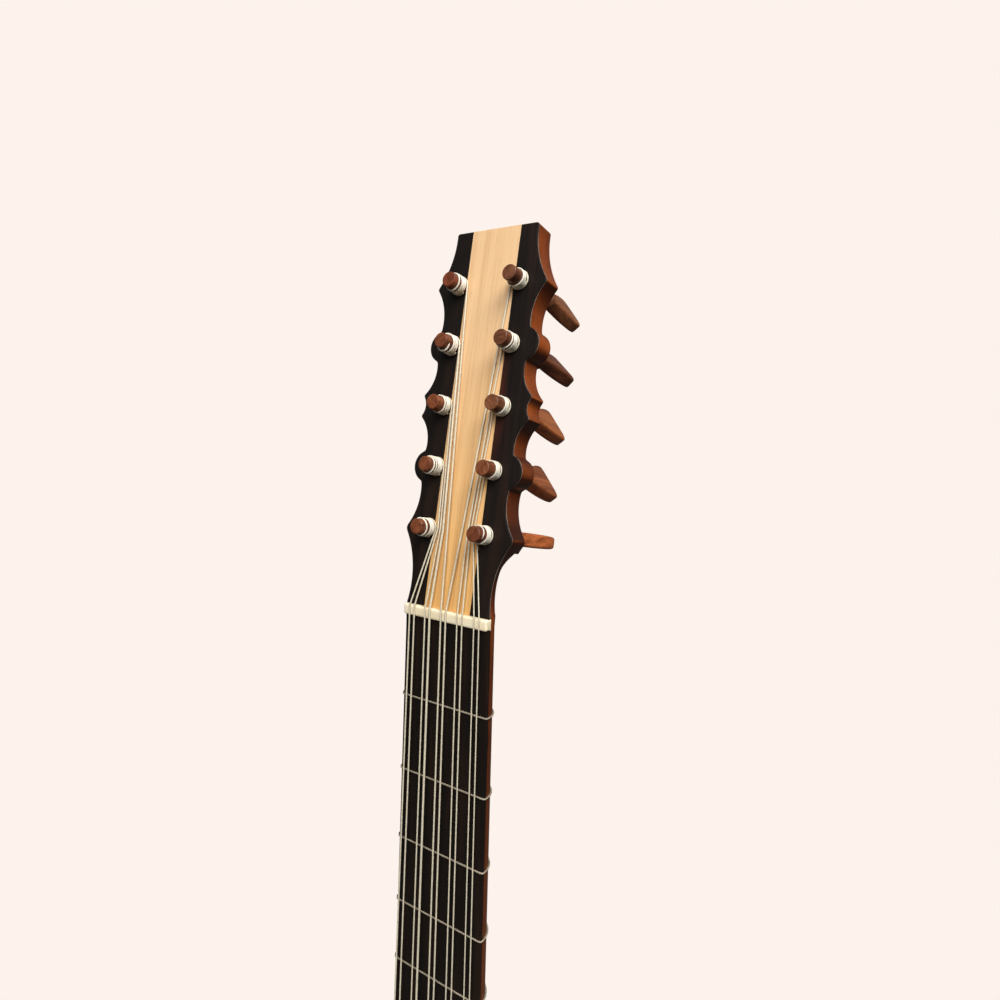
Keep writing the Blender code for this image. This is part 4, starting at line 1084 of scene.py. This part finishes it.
def petal_loops(grow=0.0):
    """The rose's openings: pointed ovals in three rings about its centre. Each is an oval
    whose width falls off as the square of the distance from its middle."""
    loops = []
    t = np.linspace(0, 2 * math.pi, 29)[:-1]
    for count, out, long_half, short_half, phase in ROSE_RINGS:
        u = np.cos(t) * (long_half + grow)
        v = np.sign(np.sin(t)) * (1 - np.cos(t) ** 2) ** 0.72 * (short_half + grow)
        for angle in 2 * math.pi * (np.arange(count) + phase) / count:
            way = np.array((math.cos(angle), math.sin(angle)))
            across = np.array((-way[1], way[0]))
            loops.append((out + u)[:, None] * way + v[:, None] * across + (0, ROSE_Z))
    return loops


def make_rose():
    """A pierced disc of parchment under the hole, with a raised bead round each opening
    and in rings between them."""
    under = -TOP_THICKNESS - GLUE
    middle = (0, ROSE_Z)
    rim, hub = circle(HOLE_RADIUS + ROSE_LAP, 120) + middle, circle(ROSE_HUB, 32) + middle
    disc = flat_plate("rose_disc", [rim, hub] + petal_loops(), under - ROSE_THICKNESS, under)
    finish_piece(disc, PARCHMENT, ["rose"], 30)
    beads = [(loop, BEAD_RADII[0]) for loop in petal_loops(BEAD_AWAY)]
    beads += [(circle(radius, 120) + middle, BEAD_RADII[1]) for radius in BEAD_RINGS]
    points, faces, count = [], [], 0
    for loop, radius in beads:
        rings = closed_tube(loop_level(loop, -under - BEAD_RISE), radius, (0, 1, 0), 8)
        faces += [[corner + count for corner in face]
                  for face in grid_faces(rings.shape[0], rings.shape[1], "join")]
        points.append(rings.reshape(-1, 3))
        count += len(points[-1])
    mouldings = raw("rose_mouldings", np.concatenate(points), faces)
    finish_piece(mouldings, PARCHMENT_GOLD, sharp=60)


WING_CORNERS = (  # from the middle of the base's upper edge, each arc's end and bulge
    ((0.0040, 0.0045), 0), ((0.0330, 0.0045), -0.0022), ((0.0430, -0.0040), -0.0030),
    ((0.0300, -0.0010), 0.0030), ((0.0040, -0.0045), 0.0022), ((-0.0040, -0.0060), 0))


def make_bridge():
    """The tie bridge: a rounded bar carried across, on a thin base whose scrolled ends
    are arcs, with a hole a string."""
    front, rear = -STRING_LENGTH, -STRING_LENGTH - BRIDGE_DEPTH
    side = [np.array([(-0.0040, 0.0060)])]
    for end, bulge in WING_CORNERS:
        side.append(arc(side[-1][-1], end, bulge)[1:])
    side = np.concatenate(side) + (BRIDGE_HALF, 0)
    side = soften(even(side, OUTLINE_STEP), 1.5) + (0, (front + rear) / 2)
    loop = np.concatenate([side, side[::-1] * (-1, 1)])
    wings = skin("bridge_wings", facing(plate_rings(
        loop, arris(GLUE, GLUE + WING_THICKNESS, 0.0001, 0.0005))))
    finish_piece(wings, EBONY_ACROSS, sharp=30)
    top = GLUE + BRIDGE_HEIGHT
    rear_cut, front_cut = BRIDGE_CUTS
    profile = np.array([(rear, GLUE), (rear, top - rear_cut), (rear + rear_cut, top),
                        (front - front_cut, top), (front, top - front_cut), (front, GLUE)])
    z, y, x = np.moveaxis(plate_rings(soften(even(profile, 0.0002), 2.0),
                                      arris(-BRIDGE_HALF, BRIDGE_HALF, 0.0007, 0.0007)), -1, 0)
    bar = skin("bridge_bar", np.stack([x, -np.maximum(y, GLUE), z], -1))
    drills = []
    for index, radius in enumerate(STRING_RADII):
        ring = circle(radius + BRIDGE_DRILL_ROOM, 16) + (string_x(index, BRIDGE_SPACING),
                                                         -STRING_RISE_BRIDGE)
        drills.append(skin("cutter", [np.c_[ring, np.full(len(ring), level)]
                                      for level in (rear - CARVE_OVER, front + CARVE_OVER)]))
    carve(bar, *drills)
    discard(*drills)
    finish_piece(bar, EBONY_ACROSS, ["bridge"], 30)


ALONG_HEAD = (HEAD_TILT, 0, 0)


def shaded(stops, light):
    """A ramp's stops with their colours made lighter or darker."""
    return [(place, tuple(np.array(colour) * light)) for place, colour in stops]


def ebony_finish(name, turn=(0, 0, 0), along=(1, 1, 0.022), red=None):
    """Black wood with brown streaks and fine pores along its grain, and a redder part
    beside the pale stripe where a colour for it is given."""
    f = Finish(name, 0.45, specular=0.16)
    streak = f.noise(f.place(tuple(150 * a ** 0.7 for a in along), turn), 4, 0.6, 0.3)
    fibre = f.noise(f.place(tuple(1500 * a for a in along), turn), 3, 0.6)
    colour = f.ramp(streak, [(0.30, (0.0050, 0.0040, 0.0036)), (0.50, (0.0085, 0.0056, 0.0044)),
                             (0.66, (0.0170, 0.0085, 0.0056)), (0.80, (0.0085, 0.0056, 0.0044))])
    pores = fibre.step(0.36, 0.30)
    if red:
        where = f.place((1, 1, 1), turn)
        height = (f.axis(where, "Z") - 0.102).absolute()
        warm = f.axis(where, "X").step(0.0205, 0.0150) * height.step(0.034, 0.014)
        colour = f.blend(colour, red, warm * streak.step(0.30, 0.50))
    colour = f.blend(colour, (0.0025, 0.0022, 0.0020), pores)
    return f.show(colour, 0.36 + 0.16 * fibre, fibre - 0.5 * pores, 0.00005, 0.3)


def mahogany_finish(name, turn=(0, 0, 0), light=1.0, ends=False):
    """Varnished red-brown wood: broad ribbons, fine fibre and short dark pores, made darker
    by a light below 1, which on the neck is painted shade. The head's is darker by an
    attribute that marks end grain on faces turned up and paints shade on faces turned
    down, and it has painted shade towards the nut and below it."""
    f = Finish(name, 0.36, coat=0.12, coat_roughness=0.15, specular=0.16)
    ribbon = f.noise(f.place((60, 42, 5), turn), 3, 0.55, 0.6)
    fibre = f.noise(f.place((1100, 1100, 40), turn), 4, 0.6)
    pore = f.noise(f.place((2400, 2400, 150), turn), 2, 0.5)
    tone = ribbon * 0.62 + fibre * 0.38
    stops = [(0.28, (0.070, 0.0140, 0.0028)), (0.44, (0.150, 0.0290, 0.0048)),
             (0.58, (0.255, 0.0530, 0.0078)), (0.74, (0.390, 0.0950, 0.0150))]
    pores = pore.step(0.34, 0.27)
    colour = f.ramp(tone, shaded(stops, light))
    if ends:
        # Painted shade on faces turned down, with darker end grain on faces turned up
        end = f.stored("end_grain")
        height = f.along("Z", turn)
        # Painted shade: low darkens the head's lower part towards the nut, foot darkens it below
        # the nut to meet the neck's painted shade
        low = height.step(0.105, 0.045) * height.step(0.002, 0.016)
        foot = height.step(0.004, -0.012)
        shade = end.step(0.12, 0.62) * 0.9 + low * 0.80 + foot * 0.55
        colour = f.blend(colour, (0.038, 0.0085, 0.0036), shade.clamp())
    colour = f.blend(colour, (0.020, 0.0050, 0.0025), pores * 0.8)
    return f.show(colour, 0.30 + 0.14 * fibre, fibre * 0.6 - pores, 0.00005, 0.35)


def rosewood_finish(name, grain, light, handle=None):
    """Peg wood: brown with dark wavy lines that run along the peg and cross its end
    disc at the angle given as grain. The handle has its own tone if one is given, which
    is partly painted light: it makes a handle lighter or darker than its disc to match
    how lit or shaded each handle looks."""
    f = Finish(name, 0.42, coat=0.06, coat_roughness=0.25, specular=0.28)
    turn = (HEAD_TILT, grain, 0)
    lines = f.noise(f.place((300, 14, 1000), turn), 3, 0.6, 0.5)
    broad = f.noise(f.place((130, 10, 330), turn), 2, 0.5, 0.4)
    tone = lines * 0.55 + broad * 0.45
    stops = [(0.30, (0.036, 0.0115, 0.0050)), (0.43, (0.115, 0.0370, 0.0145)),
             (0.56, (0.190, 0.0650, 0.0270)), (0.72, (0.265, 0.1000, 0.0450))]
    behind = f.along("Y", ALONG_HEAD).step(0.014, 0.024)
    colour = f.blend(f.ramp(tone, shaded(stops, light)),
                     f.ramp(tone, shaded(stops, handle or light)), behind)
    pore = f.noise(f.place((2200, 120, 2200), turn), 2, 0.5).step(0.34, 0.28)
    colour = f.blend(colour, (0.014, 0.006, 0.004), pore * 0.75)
    return f.show(colour, 0.32 + 0.2 * lines, lines * 0.7 - pore, 0.00006, 0.5)


def pale_stripe_finish(name):
    """Straw-coloured wood with fine lengthwise grain, deeper gold towards the nut."""
    f = Finish(name, 0.45, coat=0.1, coat_roughness=0.3, specular=0.3)
    fibre = f.noise(f.place((1500, 1500, 20), ALONG_HEAD), 3, 0.6)
    bands = f.noise(f.place((480, 480, 6), ALONG_HEAD), 2, 0.5)
    patch = f.noise(f.place((75, 75, 40), ALONG_HEAD), 3, 0.55)
    height = f.along("Z", ALONG_HEAD)
    gold = (height + 0.05 * patch).step(0.165, 0.035)
    pale = f.blend((0.780, 0.510, 0.275), (0.760, 0.430, 0.145), gold)
    deep = f.blend((0.670, 0.405, 0.196), (0.600, 0.310, 0.096), gold)
    colour = f.blend(pale, deep, (bands * 0.45 + fibre * 0.55).step(0.44, 0.66))
    colour = f.blend(colour, (0.42, 0.205, 0.060), patch.step(0.58, 0.78) * gold * 0.7)
    flecks = f.noise(f.place((2300, 2300, 130), ALONG_HEAD), 2, 0.5).step(0.33, 0.27)
    colour = f.blend(colour, (0.235, 0.145, 0.080), flecks * 0.55)
    return f.show(colour, 0.42 + 0.15 * fibre, fibre - flecks, 0.00003, 0.3)


def line_of(value, place, half, soft=0.0001):
    """1 within half a width of a place, 0 outside."""
    return (value - place).absolute().step(half + soft, half - soft)


RINGS_PER_METRE = 820


def spruce_finish(name):
    """Softwood board with even dark lines about a millimetre apart and a dark line at the
    middle joint. Inlaid lines follow its edge and ring its hole."""
    f = Finish(name, 0.38, coat=0.3, coat_roughness=0.18)
    where = f.place((1, 1, 1))
    sway = f.noise(f.place((18, 18, 4)), 2, 0.5)
    across = f.axis(where, "X").absolute() + 0.0035 * sway
    ring = (across * RINGS_PER_METRE).fraction()
    late = ring.step(0.35, 0.9) * ring.step(1.0, 0.94)
    fibre = f.noise(f.place((1700, 1700, 40)), 3, 0.6)
    tone = f.noise(f.place((9, 9, 5)), 3, 0.5)
    early = f.blend((0.80, 0.490, 0.205), (0.70, 0.385, 0.130), tone.step(0.3, 0.7))
    colour = f.blend(early, (0.40, 0.175, 0.045), late * (0.35 + 0.4 * fibre))
    joint = line_of(f.axis(where, "X"), 0.0, 0.00008, 0.00006)
    colour = f.blend(colour, (0.20, 0.085, 0.025), joint * 0.7)
    edge = f.stored("edge")
    span = f.add("VectorMath", {"operation": "SUBTRACT"}, {0: where, 1: (0, 0, ROSE_Z)})
    out = f.length(span)
    dark = line_of(edge, 0.0, 0.0016) + line_of(edge, 0.0042, 0.0003)
    dark = dark + line_of(edge, 0.0060, 0.0003) + line_of(out, HOLE_RADIUS + 0.0018, 0.0005)
    dark = dark + line_of(out, HOLE_RADIUS + 0.0062, 0.0005)
    dark = dark + line_of(out, HOLE_RADIUS + 0.0085, 0.0003)
    pale = line_of(edge, 0.0051, 0.0005) + line_of(out, HOLE_RADIUS + 0.0030, 0.0005)
    pale = pale + line_of(out, HOLE_RADIUS + 0.0074, 0.0005)
    angle = f.add("Math", {"operation": "ARCTAN2"}, {0: f.axis(span, "X"), 1: f.axis(span, "Z")})
    teeth = (angle * (48 / (2 * math.pi))).fraction() > 0.5
    band = line_of(out, HOLE_RADIUS + 0.0046, 0.0011)
    colour = f.blend(colour, (0.78, 0.66, 0.45), (pale + band).clamp())
    colour = f.blend(colour, (0.012, 0.009, 0.007), (dark + band * teeth).clamp())
    return f.show(colour, 0.34 + 0.12 * fibre, fibre * 0.5 + late, 0.00004, 0.3)


def rib_finish(name):
    """Mahogany ribs with a dark and a pale line along each edge."""
    f = Finish(name, 0.34, coat=0.45, coat_roughness=0.12)
    ribbon = f.noise(f.place((40, 60, 6)), 3, 0.55, 0.6)
    fibre = f.noise(f.place((60, 1100, 50)), 4, 0.6)
    tone = ribbon * 0.6 + fibre * 0.4
    colour = f.ramp(tone, [(0.30, (0.055, 0.0115, 0.0040)), (0.50, (0.130, 0.0290, 0.0080)),
                           (0.70, (0.235, 0.0600, 0.0140))])
    depth = f.along("Y")
    from_edge = BODY_DEPTH / 2 - (depth - BODY_DEPTH / 2).absolute()
    colour = f.blend(colour, (0.010, 0.007, 0.005), from_edge.step(0.0046, 0.0044))
    colour = f.blend(colour, (0.62, 0.50, 0.32), line_of(from_edge, 0.0052, 0.0004))
    return f.show(colour, 0.30 + 0.14 * fibre, fibre, 0.00004, 0.3)


def bone_finish(name):
    """Cream bone with yellow clouds and faint lengthwise streaks."""
    f = Finish(name, 0.30, coat=0.2, coat_roughness=0.15)
    cloud = f.noise(f.place((110, 110, 160)), 3, 0.5)
    streak = f.noise(f.place((60, 900, 900)), 3, 0.6)
    colour = f.ramp(cloud * 0.7 + streak * 0.3,
                    [(0.30, (0.80, 0.66, 0.41)), (0.48, (0.91, 0.78, 0.53)),
                     (0.66, (0.96, 0.86, 0.64))])
    return f.show(colour, 0.26 + 0.2 * streak, streak, 0.00003, 0.3)


def gut_finish(name, colour, dark=0.72, roughness=0.35, twist=0.0):
    """Gut or a like string: slightly clear, with a faint cloudiness along its length,
    and the darker rounds of a twist so many to the metre."""
    f = Finish(name, roughness, coat=0.2, coat_roughness=0.2)
    f.shader.inputs["Subsurface Weight"].default_value = 0.15
    f.shader.inputs["Subsurface Radius"].default_value = (1.0, 0.8, 0.5)
    f.shader.inputs["Subsurface Scale"].default_value = 0.0004
    cloud = f.noise(f.place((700, 700, 700)), 3, 0.6)
    deep = tuple(dark * c for c in colour)
    colour = f.blend(deep, colour, cloud.step(0.3, 0.62))
    relief = cloud
    if twist:
        where = f.place((twist, twist, twist))
        along = f.axis(where, "X") + f.axis(where, "Y") + f.axis(where, "Z")
        strand = (along.fraction() - 0.5).absolute()
        groove = strand.step(0.30, 0.44)
        colour = f.blend(colour, tuple(0.35 * c for c in deep), groove * 0.8)
        relief = cloud * 0.3 - groove
    return f.show(colour, None, relief, 0.00004 if twist else 0.00002, 0.3)


def one_pattern_finish(name, scale, detail, low, high, rough, depth, strength):
    """A finish of one noise pattern, from its low colour to its high one, rougher and
    higher with it."""
    f = Finish(name, rough)
    pattern = f.noise(f.place(scale), detail, 0.6)
    colour = f.ramp(pattern, [(0.3, low), (0.7, high)])
    return f.show(colour, rough + 0.2 * pattern, pattern, depth, strength)


def parchment_finish(name, low, high):
    """Thin skin, mottled between two tones."""
    return one_pattern_finish(name, (160, 160, 160), 4, low, high, 0.55, 0.0001, 0.4)


def dress(node, made):
    """Gives a CAD node a finish in place of its plain one."""
    mesh = NODES[node].data
    mesh.materials.clear()
    mesh.materials.append(made)


def light_ways(tree):
    """A light path's outputs, and a way to mix two shaders by one of them or by another
    socket's share."""
    path = tree.nodes.new("ShaderNodeLightPath")

    def mix(share, first, second):
        made = tree.nodes.new("ShaderNodeMixShader")
        tree.links.new(share, made.inputs[0])
        tree.links.new(first, made.inputs[1])
        tree.links.new(second, made.inputs[2])
        return made.outputs[0]

    return path.outputs, mix


def glow(tree, kind, colour, strength=1.0):
    """An emission or background node's output."""
    made = tree.nodes.new(kind)
    made.inputs["Color"].default_value = (*colour, 1)
    made.inputs["Strength"].default_value = strength
    return made.outputs[0]


def make_stage():
    """A floor that shows the guitar's shadow near it and is plain paper to the camera
    farther out, under a world that is the same paper to the camera. To everything but
    the camera both are dimmer."""
    mesh = bpy.data.meshes.new("floor")
    corners = [(x * FLOOR_REACH, y * FLOOR_REACH, FLOOR_Z)
               for x, y in ((-1, -1), (1, -1), (1, 1), (-1, 1))]
    mesh.from_pydata(corners, [], [(0, 1, 2, 3)])
    add_object("floor", mesh)
    f = Finish("floor_paper", 0.95, specular=0.0)
    f.show(FLOOR_TONE)
    mesh.materials.append(f.material)
    tree = f.tree
    ways, mix = light_ways(tree)
    far = f.length(f.place((1, 1, 0))).step(*FLOOR_FADE) * Value(f, ways["Is Camera Ray"])
    paper = glow(tree, "ShaderNodeEmission", PAPER)
    dim = tree.nodes.new("ShaderNodeBsdfDiffuse")
    dim.inputs["Color"].default_value = (*FLOOR_BOUNCE, 1)
    end = next(node for node in tree.nodes if node.bl_idname == "ShaderNodeOutputMaterial")
    seen = mix(far.socket, f.shader.outputs[0], paper)
    tree.links.new(mix(ways["Is Camera Ray"], dim.outputs[0], seen), end.inputs["Surface"])
    world = bpy.data.worlds.new("studio")
    bpy.context.scene.world = world
    world.use_nodes = True
    tree = world.node_tree
    tree.nodes.clear()
    ways, mix = light_ways(tree)
    kind = "ShaderNodeBackground"
    light = mix(ways["Is Glossy Ray"], glow(tree, kind, WORLD_TONE, WORLD_LIGHT),
                glow(tree, kind, WORLD_TONE, WORLD_GLOSS))
    end = tree.nodes.new("ShaderNodeOutputWorld")
    tree.links.new(mix(ways["Is Camera Ray"], light, glow(tree, kind, PAPER)),
                   end.inputs["Surface"])


def make_lamp(name, place, target, size, power):
    """A soft square lamp at a place, turned to a target."""
    data = bpy.data.lights.new(name, "AREA")
    data.size = size
    data.energy = power
    lamp = add_object(name, data)
    lamp.location = place
    way = Vector(target) - Vector(place)
    lamp.rotation_euler = way.to_track_quat("-Z", "Y").to_euler()
    return lamp


def make_camera():
    """The photograph's camera: yaw round +Z, pitch up, then roll about the view."""
    yaw, pitch, roll = CAMERA_YAW, CAMERA_PITCH, CAMERA_ROLL
    back = Vector((math.sin(yaw) * math.cos(pitch), -math.cos(yaw) * math.cos(pitch),
                   math.sin(pitch)))
    level = Vector((math.cos(yaw), math.sin(yaw), 0))
    up = back.cross(level)
    right = level * math.cos(roll) + up * math.sin(roll)
    top = up * math.cos(roll) - level * math.sin(roll)
    data = bpy.data.cameras.new("camera")
    data.sensor_width = SENSOR_WIDTH
    data.lens = FOCAL_PER_WIDTH * SENSOR_WIDTH
    data.clip_start = 0.001
    data.clip_end = 50
    camera = add_object("camera", data)
    turn = Matrix((right, top, back)).transposed().to_4x4()
    camera.matrix_world = Matrix.Translation(CAMERA_PLACE) @ turn
    bpy.context.scene.camera = camera


make_camera()
make_stage()
bpy.context.scene.view_settings.view_transform = "Standard"
make_lamp("key_lamp", (1.3, -0.6, 1.8), (0, 0, 0), 1.3, 62)
make_lamp("front_lamp", (0.5, -1.7, 1.1), (0, 0, 0), 1.0, 30)
back_lamp = make_lamp("back_lamp", (-1.1, 1.5, 0.5), (0, 0, -0.3), 1.2, 34)
back_lamp.visible_glossy = False  # or it shows as white spots on the pegs

EBONY = ebony_finish("ebony_up_neck")
EBONY_HEAD = ebony_finish("ebony_up_head", ALONG_HEAD)
EBONY_RED = ebony_finish("ebony_up_head_red", ALONG_HEAD, red=(0.042, 0.0105, 0.0060))
EBONY_ACROSS = ebony_finish("ebony_across", (0, 0, 0), (0.022, 1, 1))
# The neck's wood is made darker at 0.46 as painted shade for the dimmer light it lies in;
# ends=True below gives the head its painted shade and end grain
MAHOGANY = mahogany_finish("mahogany_up_neck", (0, 0, 0), 0.46)
MAHOGANY_HEAD = mahogany_finish("mahogany_up_head", ALONG_HEAD, ends=True)
MAHOGANY_BACK = mahogany_finish("mahogany_back", (0, 0, 0), 0.9)
RIB_WOOD = rib_finish("mahogany_ribs")
STRING_GUT = gut_finish("string_gut_clear", (0.66, 0.59, 0.44), 0.8)
WINDING_GUT = gut_finish("string_gut_wound", (0.79, 0.73, 0.60), 0.85)
FRET_GUT = gut_finish("fret_gut_brown", (0.40, 0.34, 0.25), twist=900)
KNOT_GUT = gut_finish("fret_gut_burnt", (0.095, 0.060, 0.040), 0.4, 0.5)
PALE = pale_stripe_finish("pale_stripe_wood")
LINE = one_pattern_finish("pale_line_wood", (500, 500, 60), 3, (0.10, 0.085, 0.07),
                          (0.42, 0.38, 0.31), 0.45, 0.00003, 0.3)
SPRUCE = spruce_finish("spruce_board")
BONE = bone_finish("bone_cream")
PARCHMENT = parchment_finish("parchment_cut", (0.46, 0.33, 0.17), (0.64, 0.50, 0.31))
PARCHMENT_GOLD = parchment_finish("parchment_gilt", (0.50, 0.30, 0.09), (0.66, 0.44, 0.16))
BLOCKS = one_pattern_finish("block_wood", (700, 700, 30), 3, (0.38, 0.22, 0.10),
                            (0.56, 0.37, 0.19), 0.5, 0.00006, 0.4)
PEG_WOODS = {
    -1: [rosewood_finish("rosewood_left_" + str(row + 1), 0.3 + 1.1 * row, tone)
         for row, tone in enumerate(((0.95, 0.8, 0.7), (0.95, 0.8, 0.7), (1.05, 0.85, 0.75),
                                     (0.85, 0.7, 0.6), (1.0, 0.7, 0.65)))],
    # Right pegs: a disc tone and a handle tone each. The handle tones are partly the woods' own
    # differences and partly painted light and shade, matching how lit each handle looks
    1: [rosewood_finish("rosewood_right_" + str(row + 1), 0.9 + 0.8 * row, tone, handle)
        for row, (tone, handle) in enumerate((
            ((0.8, 0.65, 0.6), (2.5, 2.0, 1.45)), ((1.0, 0.9, 0.8), (1.4, 1.2, 0.95)),
            ((1.1, 1.15, 1.15), (1.7, 1.55, 1.15)), ((0.8, 0.75, 0.75), (0.7, 0.6, 0.55)),
            ((0.8, 0.8, 0.85), (1.3, 1.35, 1.25))))],
}

make_head()
make_neck()
make_strings()
make_pegs()
make_nut()
make_frets()
make_body()
make_rose()
make_bridge()
for node in NODES:
    if node.startswith(("top_bar", "back_bar", "neck_block", "tail_block")):
        dress(node, BLOCKS)
